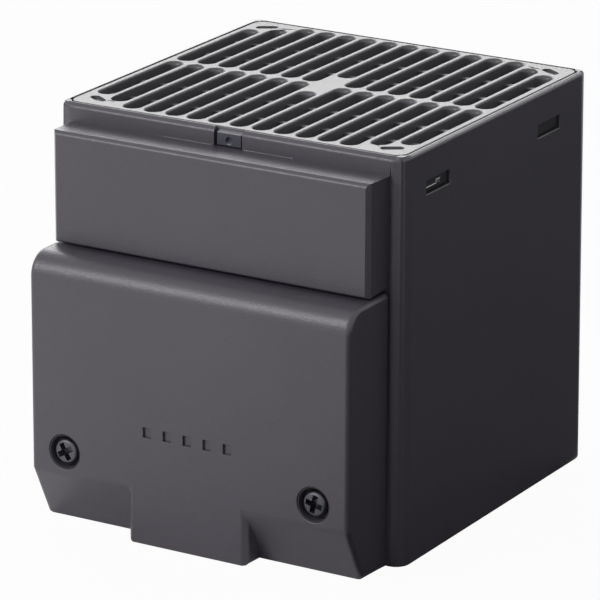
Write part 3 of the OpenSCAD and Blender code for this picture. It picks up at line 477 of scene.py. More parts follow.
def casing_edge(ends, normals, convex):
    wide = CASING_ROUND
    outward = outward_side(ends, normals)
    if convex and both(ends, 2, rim_z):
        return wide["rim"]
    if convex and outward and both(ends, 2, rim_z - RIM_CHAMFER):
        return wide["rim foot"]
    if both(ends, 2, 0) and any(abs(n.z) < UPRIGHT for n in normals):
        return wide["outer foot" if outward else "inner foot"]
    if convex and both(ends, 1, panel_y):
        if both(ends, 2, LEDGE_Z - PANEL_CHAMFER):
            return wide["panel top"]
        return wide["panel low"] if both(ends, 2, PANEL_LOW) else 0
    if either(ends, PANEL_HALF) and max(end.y for end in ends) < front_y + 0.03:
        if convex:
            return wide["panel side"]
        return wide["panel root"] if both(ends, 1, front_y) else 0
    if convex and either(ends, half_w) and (ends[0].z + ends[1].z) / 2 > WINDOW_FROM:
        return wide["window"]
    return 0


print("casing rounds, mm:", CASING_ROUND)

# %% Lean the walls
PLATE_T = 4.0
SIDE_CHAMFER = 0.5
DRAFT = 1.2
LIP = 0.3
GAP = 0.25
SEAM_DROP = 0.7
CORNER_R = 4.0
POCKET_NEAR, POCKET_FAR = 1.4, 2.3


def draft_walls(piece):
    """Leans the sides and front inwards by DRAFT over their height and widens the grille's pocket."""
    for vertex in piece.data.vertices:
        x, y, z = (v / MM for v in vertex.co)
        lean = DRAFT * z / rim_z
        grow = LIP + GAP if z > rim_z - PLATE_T - 0.5 else 0
        if near(z, PANEL_LOW) and y < front_y - 0.1:
            vertex.co.z -= SEAM_DROP * MM
        if near(z, rim_z - RIM_CHAMFER) and abs(x) > half_w - CORNER_R - 0.1:
            backward = min(1, max(0, (y - front_y) / CORNER_R))
            vertex.co.z += (RIM_CHAMFER - SIDE_CHAMFER) * backward * MM
        if abs(x) > half_w - CORNER_R - 0.2:
            in_pocket = half_w - POCKET_FAR < abs(x) < half_w - POCKET_NEAR
            vertex.co.x -= math.copysign(lean - grow * in_pocket, x) * MM
        if front_y - 0.05 < y < front_y + CORNER_R + 0.2:
            in_pocket = front_y + POCKET_NEAR < y < front_y + POCKET_FAR
            vertex.co.y += (lean - grow * in_pocket) * MM
        elif back_y - POCKET_FAR < y < back_y - POCKET_NEAR:
            vertex.co.y += grow * MM


casing = welded_copy("casing", "duct_casing")
chamfer_edges(casing, RIM_CHAMFER, lambda ends, normals: both(ends, 2, rim_z) and outward_side(ends, normals))
chamfer_edges(casing, SIDE_BAND, lambda ends, normals: both(ends, 1, panel_y) and either(ends, PANEL_HALF))
chamfer_edges(casing, PANEL_CHAMFER, lambda ends, normals: both(ends, 1, panel_y) and both(ends, 2, LEDGE_Z))
weigh_edges(casing, casing_edge)
draft_walls(casing)
round_edges(casing, segments=6)
casing.data.materials.append(casing_plastic)
settle(casing, node="casing")

# %% [markdown]
# ## The terminal cover
# The cover hangs in front of the casing below the panel, with a fine seam between them. Its top is one
# large round, its lower corners are bevelled, and a flat tongue stays between the bevels and widens a
# little at its foot. Every outer edge is softened by a width of its own: wide on the sides and the tongue,
# fine around the screw wells and the five small recesses.

# %% Rules for the cover's edges
BEVEL_TOP = 14.0
TONGUE_HALF = 16.0
TONGUE_HOLLOW = 13.8
TONGUE_CHAMFER = 1.4
SCREW_X = 35.5
COVER_ROUND = {"side": 1.4, "bevel": 1.0, "tongue": 0.35, "inner foot": 0.2, "tongue foot": 1.3, "foot": 0.5,
               "well": 0.3, "recess": 0.15}


def cover_edge(ends, normals, convex):
    wide = COVER_ROUND
    middle = (ends[0] + ends[1]) / 2
    on_front = both(ends, 1, cover_y)
    if convex and either(ends, cover_half) and not both(ends, 1, front_y):
        return wide["side"]
    if on_front and both(ends, 2, BEVEL_TOP) and any(-0.95 < n.y < -0.8 and n.z < -0.3 for n in normals):
        return wide["bevel"]
    if convex and any(0.6 < abs(n.x) < 0.8 and abs(n.z) < 0.1 for n in normals):
        return wide["tongue"]
    if convex and both(ends, 2, 0):
        if any(n.y > 0.9 for n in normals) or either(ends, TONGUE_HOLLOW):
            return wide["inner foot"]
        return wide["tongue foot" if either(ends, TONGUE_HALF) else "foot"]
    if convex and on_front and middle.z > BEVEL_TOP + 1 and any(n.y < -0.99 for n in normals):
        return wide["well" if abs(abs(middle.x) - SCREW_X) < 5 else "recess"]
    return 0


print("cover rounds, mm:", COVER_ROUND)

# %% Shape the cover
TONGUE_EXTRA = {-1: 1.3, 1: 0.8}
RECESS_Z = 29.2
RECESS_LIFT = 0.3
cover = welded_copy("terminal_cover", "wiring_cover")
chamfer_edges(cover, TONGUE_CHAMFER,
              lambda ends, normals: both(ends, 1, cover_y) and either(ends, TONGUE_HALF))
for vertex in cover.data.vertices:
    x, y, z = (v / MM for v in vertex.co)
    beside = abs(abs(x) - TONGUE_HALF) < TONGUE_CHAMFER + 0.5
    if beside and near(y, cover_y) and BEVEL_TOP < z < BEVEL_TOP + 2.5:
        vertex.co.z = BEVEL_TOP * MM
weigh_edges(cover, cover_edge)
for vertex in cover.data.vertices:
    x, y, z = (v / MM for v in vertex.co)
    if TONGUE_HALF - TONGUE_CHAMFER - 0.1 < abs(x) < TONGUE_HALF + 0.1 and z < BEVEL_TOP + 0.1:
        side = -1 if x < 0 else 1
        vertex.co.x += side * TONGUE_EXTRA[side] * MM
    if abs(x) < TONGUE_HALF and abs(z - RECESS_Z) < 2 and near(y, cover_y + 1):
        vertex.co.y -= RECESS_LIFT * MM
round_edges(cover, segments=6)
cover.data.materials.append(casing_plastic)
settle(cover, node="terminal_cover")

# %% [markdown]
# ## The slotted grille
# The grille is a plate with two rows of round-ended slots. Its rule is simple: slots stand a pitch apart,
# the ones at the corners get shorter step by step, and the middle one leaves a small solid pad. Geometry
# Nodes fit this well: circles are placed on a grid of points, their two halves are pulled apart to make
# slots, and the plate's outline minus all slots is filled and extruded.


# %% Helpers for Geometry Nodes
def start_tree(name, inputs):
    """A tree for a modifier, with a finish among its inputs."""
    inputs = {"Geometry": "Geometry", **inputs, "Finish": "Material"}
    tree, given, out = new_tree(name, "GeometryNodeTree", inputs, {"Geometry": "Geometry"})
    tree.is_modifier = True
    return tree, given, out[0]


def end_tree(tree, given, out, geometry):
    """Makes all instances real, gives them their finish and puts them out."""
    real = add(tree, "GeometryNodeRealizeInstances", {0: geometry})
    feed(tree, add(tree, "GeometryNodeSetMaterial", {"Geometry": real, "Material": given["Finish"]}), out)
    return tree


def vector(tree, x=0.0, y=0.0, z=0.0):
    return add(tree, "ShaderNodeCombineXYZ", {0: x, 1: y, 2: z})


def position_parts(tree):
    place = add(tree, "GeometryNodeInputPosition")
    return add(tree, "ShaderNodeSeparateXYZ", {0: place}).node.outputs


def keep_value(tree, geometry, name, value):
    """Stores a value on the points of a geometry, under a name."""
    inputs = {"Geometry": geometry, "Name": name, "Value": value}
    return add(tree, "GeometryNodeStoreNamedAttribute", inputs, data_type="FLOAT", domain="POINT")


def kept_value(tree, name, kind="FLOAT"):
    return add(tree, "GeometryNodeInputNamedAttribute", {"Name": name}, data_type=kind)


def joined(tree, *geometries):
    node = tree.nodes.new("GeometryNodeJoinGeometry")
    for geometry in geometries:
        tree.links.new(geometry, node.inputs[0])
    return node.outputs[0]


def copies(tree, points, shape, rotation=(0, 0, 0)):
    inputs = {"Points": points, "Instance": shape, "Rotation": rotation}
    return add(tree, "GeometryNodeRealizeInstances", {0: add(tree, "GeometryNodeInstanceOnPoints", inputs)})


def set_inputs(modifier, values):
    """Sets a modifier's inputs by identifier, found from the socket's name."""
    for item in modifier.node_group.interface.items_tree:
        if item.item_type == "SOCKET" and item.in_out == "INPUT" and item.name in values:
            modifier[item.identifier] = values.pop(item.name)
    assert not values, values


print("Geometry Nodes helpers ready")

# %% Slots, marks and ribs of the plate
SLOT_STEPS = 32


def round_end(tree, width):
    """A circle that knows its two halves, turned half a step so that both halves match."""
    radius = maths(tree, "*", width, 0.5)
    ring = add(tree, "GeometryNodeCurvePrimitiveCircle", {0: SLOT_STEPS, 4: radius})
    turned = add(tree, "GeometryNodeTransform", {0: ring, "Rotation": (0, 0, math.pi / SLOT_STEPS)})
    return keep_value(tree, turned, "end", maths(tree, "SIGN", position_parts(tree)[1]))


def stretch_ends(tree, curves, half_length):
    """Pulls the two halves of each ring apart along the ring's own Y."""
    shift = maths(tree, "*", kept_value(tree, "end"), half_length)
    return add(tree, "GeometryNodeSetPosition", {"Geometry": curves, "Offset": vector(tree, y=shift)})


def slab(tree, curves, height):
    """Fills flat outlines and makes them a closed slab of some height above z = 0."""
    flat = add(tree, "GeometryNodeFillCurve", {0: curves}, mode="TRIANGLES")
    lift = {"Mesh": flat, "Individual": False, "Offset": vector(tree, z=height)}
    raised = add(tree, "GeometryNodeExtrudeMesh", lift, mode="FACES")
    closed = joined(tree, add(tree, "GeometryNodeFlipFaces", {0: flat}), raised)
    return add(tree, "GeometryNodeMergeByDistance", {0: closed, "Distance": 1e-6})


def slot_outlines(tree, given):
    """The outlines of all slots: a grid of rings, each pulled to its own length."""
    calc = partial(maths, tree)
    last = calc("-", given["Slots"], 1.0)
    size = {0: calc("*", last, given["Pitch"]), 1: calc("*", given["Row Offset"], 2.0)}
    grid = add(tree, "GeometryNodeMeshGrid", {**size, 2: given["Slots"], 3: 2})
    x, y, _ = position_parts(tree)
    number = calc("ROUND", calc("/", calc("ABSOLUTE", x), given["Pitch"]))
    from_side = calc("-", calc("/", last, 2.0), number)
    steps = calc("MAXIMUM", calc("-", given["Corner Steps"], from_side), 0.0)
    outer = calc("*", steps, given["Corner Step"])
    inner = calc("*", calc("LESS_THAN", number, 0.5), given["Pad Cut"])
    length = calc("-", calc("-", given["Row Length"], outer), inner)
    half = calc("*", calc("-", length, given["Slot Width"]), 0.5)
    points = keep_value(tree, grid, "half", half)
    shift = calc("*", calc("SIGN", y), calc("*", calc("-", inner, outer), 0.5))
    places = add(tree, "GeometryNodeSetPosition", {"Geometry": points, "Offset": vector(tree, y=shift)})
    rings = copies(tree, places, round_end(tree, given["Slot Width"]))
    return stretch_ends(tree, rings, kept_value(tree, "half"))


def mark_outlines(tree, given, grow):
    """The oblong corner marks, each turned to follow the ends of the slots."""
    calc = partial(maths, tree)
    size = {0: calc("*", given["Mark X"], 2.0), 1: calc("*", given["Mark Y"], 2.0)}
    grid = add(tree, "GeometryNodeMeshGrid", {**size, 2: 2, 3: 2})
    half = calc("*", calc("-", given["Mark Length"], given["Mark Width"]), 0.5)
    oblong = stretch_ends(tree, round_end(tree, calc("+", given["Mark Width"], grow)), half)
    x, y, _ = position_parts(tree)
    turn = calc("*", calc("SIGN", calc("*", x, y)), given["Mark Turn"])
    return copies(tree, grid, oblong, vector(tree, z=turn))


def pair(tree, length, start, step):
    """Two points along Y, by shares of a length."""
    begin, onward = (vector(tree, y=maths(tree, "*", length, share)) for share in (start, step))
    return add(tree, "GeometryNodeMeshLine", {0: 2, 2: begin, 3: onward})


def cross_ribs(tree, given):
    """Low bars across all slots, two in each row."""
    rows = pair(tree, given["Row Offset"], -1.0, 2.0)
    thirds = pair(tree, given["Row Length"], -1 / 6, 1 / 3)
    height = maths(tree, "-", given["Thickness"], given["Rib Drop"])
    width = maths(tree, "-", given["Plate Width"], given["Slot Width"])
    bar = add(tree, "GeometryNodeMeshCube", {0: vector(tree, width, given["Rib Width"], height)})
    ribs = copies(tree, copies(tree, rows, thirds), bar)
    lift = vector(tree, z=maths(tree, "*", height, 0.5))
    return add(tree, "GeometryNodeTransform", {0: ribs, "Translation": lift})


print("plate parts ready")

# %% Sizes of the plate, in millimetres
BAR_W = 1.4
MID_RIB = 2.0
RIM_T = 2.0
SLOT_COUNT = 15
CORNER_STEPS = 2
CORNER_STEP = 3.9
MARK_OUT = 3.0
field_w = 2 * (half_w - RIM_T - DRAFT)
field_d = back_y - front_y - 2 * RIM_T - DRAFT
pitch = (field_w - BAR_W) / SLOT_COUNT
row_l = (field_d - 2 * BAR_W - MID_RIB) / 2
row_y = (row_l + MID_RIB) / 2
slope = math.atan(CORNER_STEP / pitch)
mark_x = (SLOT_COUNT // 2 - 0.5) * pitch + MARK_OUT * math.sin(slope)
mark_y = row_y + row_l / 2 - (CORNER_STEPS - 0.5) * CORNER_STEP + MARK_OUT * math.cos(slope)
PLATE = {
    "Plate Width": field_w + 2 * LIP, "Plate Depth": field_d + 2 * LIP, "Corner Radius": 3.0,
    "Thickness": PLATE_T, "Slot Width": pitch - BAR_W, "Pitch": pitch, "Row Length": row_l,
    "Row Offset": row_y, "Corner Step": CORNER_STEP, "Pad Cut": 7.0, "Rib Width": 1.7, "Rib Drop": 1.75,
    "Mark X": mark_x, "Mark Y": mark_y, "Mark Length": 5.8, "Mark Width": 2.5, "Mark Depth": 0.7,
}
print(f"slots {pitch - BAR_W:.2f} mm wide, {pitch:.2f} mm apart")

# %% Build the plate's node tree
PLUG_OVERLAP = 0.2


def build_plate_tree():
    inputs = {**floats(*PLATE, "Corner Steps", "Mark Turn"), "Slots": "Int"}
    tree, given, out = start_tree("Slotted plate", inputs)
    size = {0: given["Plate Width"], 1: given["Plate Depth"]}
    outline = add(tree, "GeometryNodeCurvePrimitiveQuadrilateral", size)
    rounding = {"Curve": outline, "Count": 6, "Radius": given["Corner Radius"]}
    corners = add(tree, "GeometryNodeFilletCurve", rounding, mode="POLY")
    edges = joined(tree, corners, slot_outlines(tree, given), mark_outlines(tree, given, 0.0))
    plate = slab(tree, edges, given["Thickness"])
    plug_height = maths(tree, "-", given["Thickness"], given["Mark Depth"])
    plugs = slab(tree, mark_outlines(tree, given, PLUG_OVERLAP * MM), plug_height)
    return end_tree(tree, given, out, joined(tree, plate, cross_ribs(tree, given), plugs))


plate_tree = build_plate_tree()
print("plate tree nodes:", len(plate_tree.nodes))

# %% Make the grille plate
grille = link("slotted_grille", bpy.data.meshes.new("slotted_grille"))
slots = grille.modifiers.new("Slots", "NODES")
slots.node_group = plate_tree
others = {"Corner Steps": float(CORNER_STEPS), "Mark Turn": math.pi / 2 - slope, "Slots": SLOT_COUNT}
set_inputs(slots, {name: size * MM for name, size in PLATE.items()} | others | {"Finish": grille_painted_sheen_plastic})
plain_mesh(grille)
plate_y = mid_y + DRAFT / 2
plate_z = rim_z - PLATE_T
grille.data.transform(Matrix.Translation((0, plate_y * MM, plate_z * MM)))
print("slots:", 2 * SLOT_COUNT, "faces:", len(grille.data.polygons))

# %% [markdown]
# ## The crests of the bars
# Each bar has a round crest that catches the light, and its foot is tapered so that the mould could open.
# The far end of a slot is rounded more, because light from behind shows it. One rule gives these widths,
# and after the bevel the lowest rounds are stretched upwards to make the taper.

# %% Round the grille
CREST = 0.42
CREST_RIGHT = 0.16
CREST_FAR = 0.7
OUTER_LESS = 0.07
FOOT_ROUND = 0.65
TAPER = 2.1
TAPER_TO = 0.7
MARK_REACH = 3.6
MARK_ROUND = 0.1


def plate_edge(ends, normals, convex):
    x, y, _ = (ends[0] + ends[1]) / 2
    y -= plate_y
    on_top = both(ends, 2, rim_z)
    if math.hypot(abs(x) - mark_x, abs(y) - mark_y) < MARK_REACH:
        return MARK_ROUND if on_top else 0
    walls = [n for n in normals if abs(n.z) < UPRIGHT]
    if walls and on_top:
        if abs(x) < field_w / 2 - 0.5 and abs(y) < field_d / 2 - 0.5:
            return CREST + CREST_RIGHT * walls[0].x + CREST_FAR * max(0.0, -walls[0].y)
        return CREST - OUTER_LESS
    return FOOT_ROUND if walls and both(ends, 2, plate_z) else 0


weigh_edges(grille, plate_edge)
round_edges(grille, segments=4)
for vertex in grille.data.vertices:
    height = vertex.co.z - plate_z * MM
    if height < TAPER_TO * MM:
        vertex.co.z += height * (TAPER - 1)
print("grille faces:", len(grille.data.polygons))

# %% [markdown]
# ## Snap hooks and spring catches
# Four hooks below the plate snap into the side windows, and in the front windows a bright spring catch shows
# beside the hook. A hook is a flat outline drawn out to its width. All four are the same, so a small
# Geometry Nodes tree places copies of one hook on points and turns them. The catches are small rounded
# blocks, and so are two thin beads that lie on the ledge at the front.


# %% Place copies on turned points
def build_copies_tree():
    tree, given, out = start_tree("Copies on points", {"Shape": "Object"})
    shape = add(tree, "GeometryNodeObjectInfo", {0: given["Shape"]}, "Geometry", transform_space="ORIGINAL")
    turn = kept_value(tree, "turn", "FLOAT_VECTOR")
    return end_tree(tree, given, out, copies(tree, given["Geometry"], shape, turn))


def place_copies(name, shape, places, material):
    """Copies of a shape at (place in mm, turn in radians), as one plain mesh."""
    mesh = bpy.data.meshes.new(name)
    mesh.from_pydata([Vector(p) * MM for p, _ in places], [], [])
    turns = mesh.attributes.new("turn", "FLOAT_VECTOR", "POINT")
    for item, (_, turn) in zip(turns.data, places):
        item.vector = turn
    piece = link(name, mesh)
    modifier = piece.modifiers.new("Copies", "NODES")
    modifier.node_group = copies_tree
    set_inputs(modifier, {"Shape": shape, "Finish": material})
    plain_mesh(piece)
    bpy.data.objects.remove(shape)
    return piece


def lofted(name, rings):
    """A closed form through rings of points in mm; a ring of one point is a pole, other ends are filled."""
    bm = bmesh.new()
    loops = [[bm.verts.new(Vector(p) * MM) for p in ring] for ring in rings]
    for end in (loops[0], loops[-1]):
        if len(end) > 1:
            bm.faces.new(end)
    for low, high in zip(loops, loops[1:]):
        for k in range(max(len(low), len(high))):
            j = k - 1
            corners = [ring[i % len(ring)] for ring, i in ((low, j), (low, k), (high, k), (high, j))]
            bm.faces.new(list(dict.fromkeys(corners)))
    bmesh.ops.recalc_face_normals(bm, faces=bm.faces)
    return mesh_piece(bm, name)


copies_tree = build_copies_tree()
print("copies tree nodes:", len(copies_tree.nodes))

# %% Hooks
WINDOW_Z = rim_z - 9.7
WINDOW_H = 3.4
HOOK_T = 1.5
HOOK_L = 10.5
NOSE = 1.5
NOSE_BEVEL = (0.3, 0.4)
window_ys = (front_y + 17.5, back_y - 21.0)
hook_foot = box_mm("outlet_grille")[0][2] - WINDOW_Z
hook_top = plate_z - WINDOW_Z + 0.5
nose_z = WINDOW_H / 2 - 0.15
hook_outline = [(-HOOK_T, hook_top), (-HOOK_T, hook_foot), (0, hook_foot), (0, -nose_z),
                (NOSE - NOSE_BEVEL[0], -nose_z), (NOSE, NOSE_BEVEL[1] - nose_z), (NOSE, nose_z), (0, nose_z),
                (0, hook_top)]
hook = lofted("hook_shape", [[(x, s * HOOK_L / 2, z) for x, z in hook_outline] for s in (-1, 1)])
round_edges(hook, segments=2, by_angle=25, width=0.2)
hook_places = [((s * field_w / 2, y, WINDOW_Z), (0, 0, 0 if s > 0 else math.pi))
               for s in (-1, 1) for y in window_ys]
hooks = place_copies("snap_hooks", hook, hook_places, clip_plastic)
print("hooks:", len(hook_places), "faces:", len(hooks.data.polygons))


# %% Catches and the beads on the ledge
def blocks(name, boxes, width, material):
    """Small blocks between given corners, in mm, as one mesh with rounded edges."""
    bm = bmesh.new()
    for low, high in boxes:
        middle = (Vector(low) + Vector(high)) / 2 * MM
        size = (Vector(high) - Vector(low)) * MM
        bmesh.ops.create_cube(bm, size=1.0, matrix=Matrix.LocRotScale(middle, None, size))
    piece = mesh_piece(bm, name)
    round_edges(piece, segments=3, by_angle=60, width=width)
    piece.data.materials.append(material)
    return piece


CATCH_T = 1.6
CATCH_L = 7.0
CATCH_STEPS = ((0.0, -0.5, -0.1), (5.0, -0.5, 0.8))
BEAD_SPANS = ((-18.5, -4.4), (4.4, 18.5))
catch_x = half_w - DRAFT - 0.3
catch_y = window_ys[0] - 5.4
catch_boxes = []
for side in (-1, 1):
    left, right = sorted((side * (catch_x - CATCH_T), side * catch_x))
    for start, low, high in CATCH_STEPS:
        begin, end = catch_y + start, catch_y + CATCH_L
        catch_boxes.append(((left, begin, WINDOW_Z + low), (right, end, WINDOW_Z + high)))
bead_y = front_y + DRAFT * LEDGE_Z / rim_z
bead_boxes = [((a, bead_y - 0.3, LEDGE_Z - 0.2), (b, bead_y + 0.3, LEDGE_Z + 0.3)) for a, b in BEAD_SPANS]
settle(blocks("spring_catches", catch_boxes, 0.18, bright_steel))
settle(blocks("ledge_beads", bead_boxes, 0.2, casing_plastic))

# %% [markdown]
# ## The grille's latch tab
# At the front the grille ends in a small tab that shows in a notch of the casing, with a dimple for a
# screwdriver.
# Its upward faces get a pale colour, which is painted sheen for the light that its top mirrors. The tab is
# one mesh: its front face is filled between a rectangle and the dimple's outer ring, which keeps the dimple
# part of the surface without a Boolean.

# %% Latch tab
TAB_HALF = 3.45
TAB_BACK = 0.4
TAB_DEPTH = 2.75
TAB_DROP = 1.25
TAB_SLOPE = 0.75
TAB_ROUND = {True: 0.3, False: 0.2}
DIMPLE = ((1.05, 0), (0.95, 0.08), (0.85, 0.8), (0.45, 0.9))
DIMPLE_STEPS = 24


def circle(radius, steps):
    angles = [k * math.tau / steps for k in range(steps)]
    return [(radius * math.cos(a), radius * math.sin(a)) for a in angles]


def make_tab():
    front, back = front_y + DRAFT + TAB_BACK, front_y + DRAFT + TAB_DEPTH
    low, high = LEDGE_Z + 0.2, rim_z - TAB_DROP
    middle = (low + high) / 2 - 0.2
    bm = bmesh.new()
    rings = [[bm.verts.new((x, front + depth, middle + z)) for x, z in circle(radius, DIMPLE_STEPS)]
             for radius, depth in DIMPLE]
    for first, second in zip(rings, rings[1:]):
        for k in range(DIMPLE_STEPS):
            bm.faces.new((first[k], first[k - 1], second[k - 1], second[k]))
    bm.faces.new(rings[-1])
    wide, rise = TAB_HALF, TAB_SLOPE
    corners = ((-wide, low, 0), (wide, low, 0), (wide, high, rise), (-wide, high, rise))
    near_end = [bm.verts.new((x, front, z)) for x, z, _ in corners]
    far_end = [bm.verts.new((x, back, z + up)) for x, z, up in corners]
    for i in range(4):
        bm.faces.new((near_end[i - 1], far_end[i - 1], far_end[i], near_end[i]))
    bm.faces.new(far_end)
    loops = [bm.edges.get((loop[k], loop[k - 1])) for loop in (near_end, rings[0]) for k in range(len(loop))]
    bmesh.ops.triangle_fill(bm, edges=loops, use_beauty=True)
    bmesh.ops.scale(bm, vec=(MM, MM, MM), verts=bm.verts)
    bmesh.ops.recalc_face_normals(bm, faces=bm.faces)
    bmesh.ops.dissolve_limit(bm, angle_limit=FLAT_ANGLE, verts=bm.verts, edges=bm.edges)
    tab = mesh_piece(bm, "latch_tab")

    def tab_edge(ends, normals, convex):
        square = normals[0].angle(normals[1], 0) > 1.3
        return TAB_ROUND[both(ends, 2, high) and both(ends, 1, front)] if square and convex else 0

    weigh_edges(tab, tab_edge)
    round_edges(tab, segments=4)
    # The upward faces take the pale material, which is painted sheen.
    for material in (tab_plastic, tab_top_painted_sheen_plastic):
        tab.data.materials.append(material)
    for face in tab.data.polygons:
        face.material_index = int(face.normal.z > 0.5)
    return tab


tab = make_tab()
settle(grille, node="outlet_grille")
settle(hooks)
settle(tab)

# %% [markdown]
# ## Screws
# The cover is held by two pan head screws in wells, the fan by four and the rail clip by two. Light that
# bounces in a well would make it too pale, so each well gets a thin, dull lining.
# A screw is a lathe form with a cross pressed into its head. One template is made by turning a profile and
# cutting the cross with a Boolean, and the same copies tree then places it wherever a solid screw stands.

# %% Screw template
CROSS = ((1.4, 0.75, 0.24), (0.1, 0.6, 0.17))
SHARP = 35


def turned_form(name, profile, steps=40):
    """A closed form turned about Z from (radius, height) pairs in mm; the first and last lie on the axis."""
    return lofted(name, [[(x, y, height) for x, y in circle(radius, steps if radius else 1)]
                         for radius, height in profile])


def cross_cutter(head_r, head_h):
    """A plus-shaped plug, wider at the top than below, that presses the recess into a head."""
    rings = []
    for up, reach, half in CROSS:
        x, y, z = reach * head_r, half * head_r, up * head_h
        quarter = [Vector((x, -y, z)), Vector((x, y, z)), Vector((y, y, z))]
        rings.append([Matrix.Rotation(k * math.pi / 2, 3, "Z") @ v for k in range(4) for v in quarter])
    return lofted("cross", rings)


def screw_template(head_r, head_h, shank_r, shank_l):
    angles = [k * math.pi / 16 for k in range(1, 9)]
    dome = [(head_r * (0.72 + 0.28 * math.cos(a)), head_h * (0.45 + 0.5 * math.sin(a))) for a in angles]
    shank = [(0, -shank_l), (shank_r * 0.7, -shank_l), (shank_r, -shank_l + 0.6), (shank_r, 0)]
    side = [(head_r, 0), (head_r, head_h * 0.45)]
    screw = turned_form("screw_shape", shank + side + dome + [(head_r * 0.4, head_h * 0.985), (0, head_h)])
    cutter = cross_cutter(head_r, head_h)
    cut = screw.modifiers.new("Cross", "BOOLEAN")
    cut.object = cutter
    cut.operation = "DIFFERENCE"
    cut.solver = "EXACT"
    plain_mesh(screw)
    bpy.data.objects.remove(cutter)
    smooth(screw, SHARP)
    return screw


def dress_screws(name, node, places, sizes, material):
    settle(place_copies(name, screw_template(*sizes), places, material), node=node)


print("screw template ready")

# %% Screws of the cover, in their wells
SCREW_Z = 19.8
WELL_DEPTH = 3.0
COVER_TURNS = {-1: math.radians(-30), 1: math.radians(13)}
CUP = [(0, 0), (4.42, 0), (4.42, 2.7), (4.2, 2.7), (4.1, 0.15), (0, 0.15)]
head_y = cover_y + WELL_DEPTH
cover_places = [((s * SCREW_X, head_y, SCREW_Z), (math.pi / 2, COVER_TURNS[s], 0)) for s in (-1, 1)]
dress_screws("cover_fixings", "cover_screws", cover_places, (3.3, 2.75, 1.5, 11.0), dark_steel)
cup = turned_form("cup_shape", CUP)
smooth(cup, SHARP)
settle(place_copies("screw_cups", cup, cover_places, well_plastic))

# %% Screws of the fan and the rail clip
HEAD_R, HEAD_H, SHANK_R = 3.8, 2.4, 2.0
FAN_HOLE = 35.75
FAN_SEAT = 3.2
CLIP_X = 15.0
RAIL_Z = 52.0
corners = [(x, y) for x in (-1, 1) for y in (-1, 1)]
fan_places = [((x * FAN_HOLE, mid_y + y * FAN_HOLE, FAN_SEAT), (math.pi, 0, 0.4 * x + y)) for x, y in corners]
fan_shank = box_mm("fan_screws")[1][2] - FAN_SEAT
dress_screws("fan_fixings", "fan_screws", fan_places, (HEAD_R, HEAD_H, SHANK_R, fan_shank), bright_steel)
clip_low, clip_high = box_mm("clip_screws")
clip_seat = clip_high[1] - HEAD_H
clip_shank = clip_seat - clip_low[1]
clip_places = [((s * CLIP_X, clip_seat, RAIL_Z), (-math.pi / 2, 0.6 * s, 0)) for s in (-1, 1)]
dress_screws("clip_fixings", "clip_screws", clip_places, (HEAD_R, HEAD_H, SHANK_R, clip_shank), bright_steel)

# %% [markdown]
# ## Rail clip, latch, guard and grommet
# The other pieces that show from behind and below are plain mouldings. Their welded copies get one small
# round on every sharp edge, which is enough to catch the light the way moulded edges do.


# %% Soften the plain mouldings
def soften(node, name, body, material, width):
    piece = welded_copy(node, name)
    round_edges(piece, segments=2, by_angle=40, width=width)
    piece.data.materials.append(material)
    settle(piece, body, node)


soften("rail_clip", "rail_bracket", "housing", clip_plastic, 0.35)
soften("rail_latch", "sliding_latch", "latch", latch_plastic, 0.3)
soften("intake_grille", "ring_guard", "housing", casing_plastic, 0.3)
soften("cable_grommet", "cable_collar", "housing", rubber, 0.3)

# %% [markdown]
# ## The latch's return spring
# The coil stands on a fixed peg, and the latch presses on its upper end. Here the coil is a smooth-shaded
# copy of its solid in spring steel, carried by the housing. It stays rigid, so it would cut into the latch
# when the latch is pulled down.

# %% The coil
coil = welded_copy("latch_spring", "return_spring")
coil.data.shade_smooth()
coil.data.materials.append(spring_steel)
settle(coil, node="latch_spring")
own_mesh(coil)

# %% [markdown]
# ## Pieces that keep their solids
# The fan, the heating stack and the terminals are already right as solids, so they stay and only get
# their finishes. The material replaces what the import gave them.

# %% Finish the inner pieces
INNER = {
    black_plastic: ["fan_frame", "fan_rotor", "thermal_cutout"],
    core_steel: ["fan_stator"],
    copper: ["stator_coils"],
    bright_steel: ["fan_bearings", "rotor_shaft", "heater_screws", "terminal_screws", "block_screws"],
    magnet_black: ["rotor_magnet"],
    frame_plastic: ["heater_frame"],
    aluminium: ["ptc_bars", "fin_packs"],
    brass: ["heater_terminals", "terminal_cages"],
    spring_steel: ["cutout_clip"],
    block_plastic: ["terminal_block"],
    red_sleeve: ["heater_leads"],
    blue_sleeve: ["fan_leads"],
}
for material, nodes in INNER.items():
    for node in nodes:
        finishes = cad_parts[node].data.materials
        finishes.clear()
        finishes.append(material)
print("inner pieces finished:", sum(len(n) for n in INNER.values()))

# %% [markdown]
# ## Floor and world
# The photo is a studio shot on white. The floor is pale, and the camera is shown almost pure white there, so
# that only a faint shadow stays. The plastic mirrors the floor too: for mirrored rays it is a brighter
# diffuse surface, which comes out about white under these lamps and still holds the shadow. The world is
# a dim grey as light, and white where it is seen.

# %% Floor and world
FLOOR_DROP = 0.0003
WHITE_SHARE = 0.965
AMBIENT = 0.24


def rays(tree, *kinds):
    """1 for rays of the named kinds, from the Light Path node."""
    path = add(tree, "ShaderNodeLightPath").node.outputs
    total = path[kinds[0]]
    for kind in kinds[1:]:
        total = maths(tree, "MAXIMUM", total, path[kind])
    return total


def blend(tree, share, first, second):
    return add(tree, "ShaderNodeMixShader", {0: share, 1: first, 2: second})


def empty_tree(owner):
    owner.use_nodes = True
    owner.node_tree.nodes.clear()
    return owner.node_tree


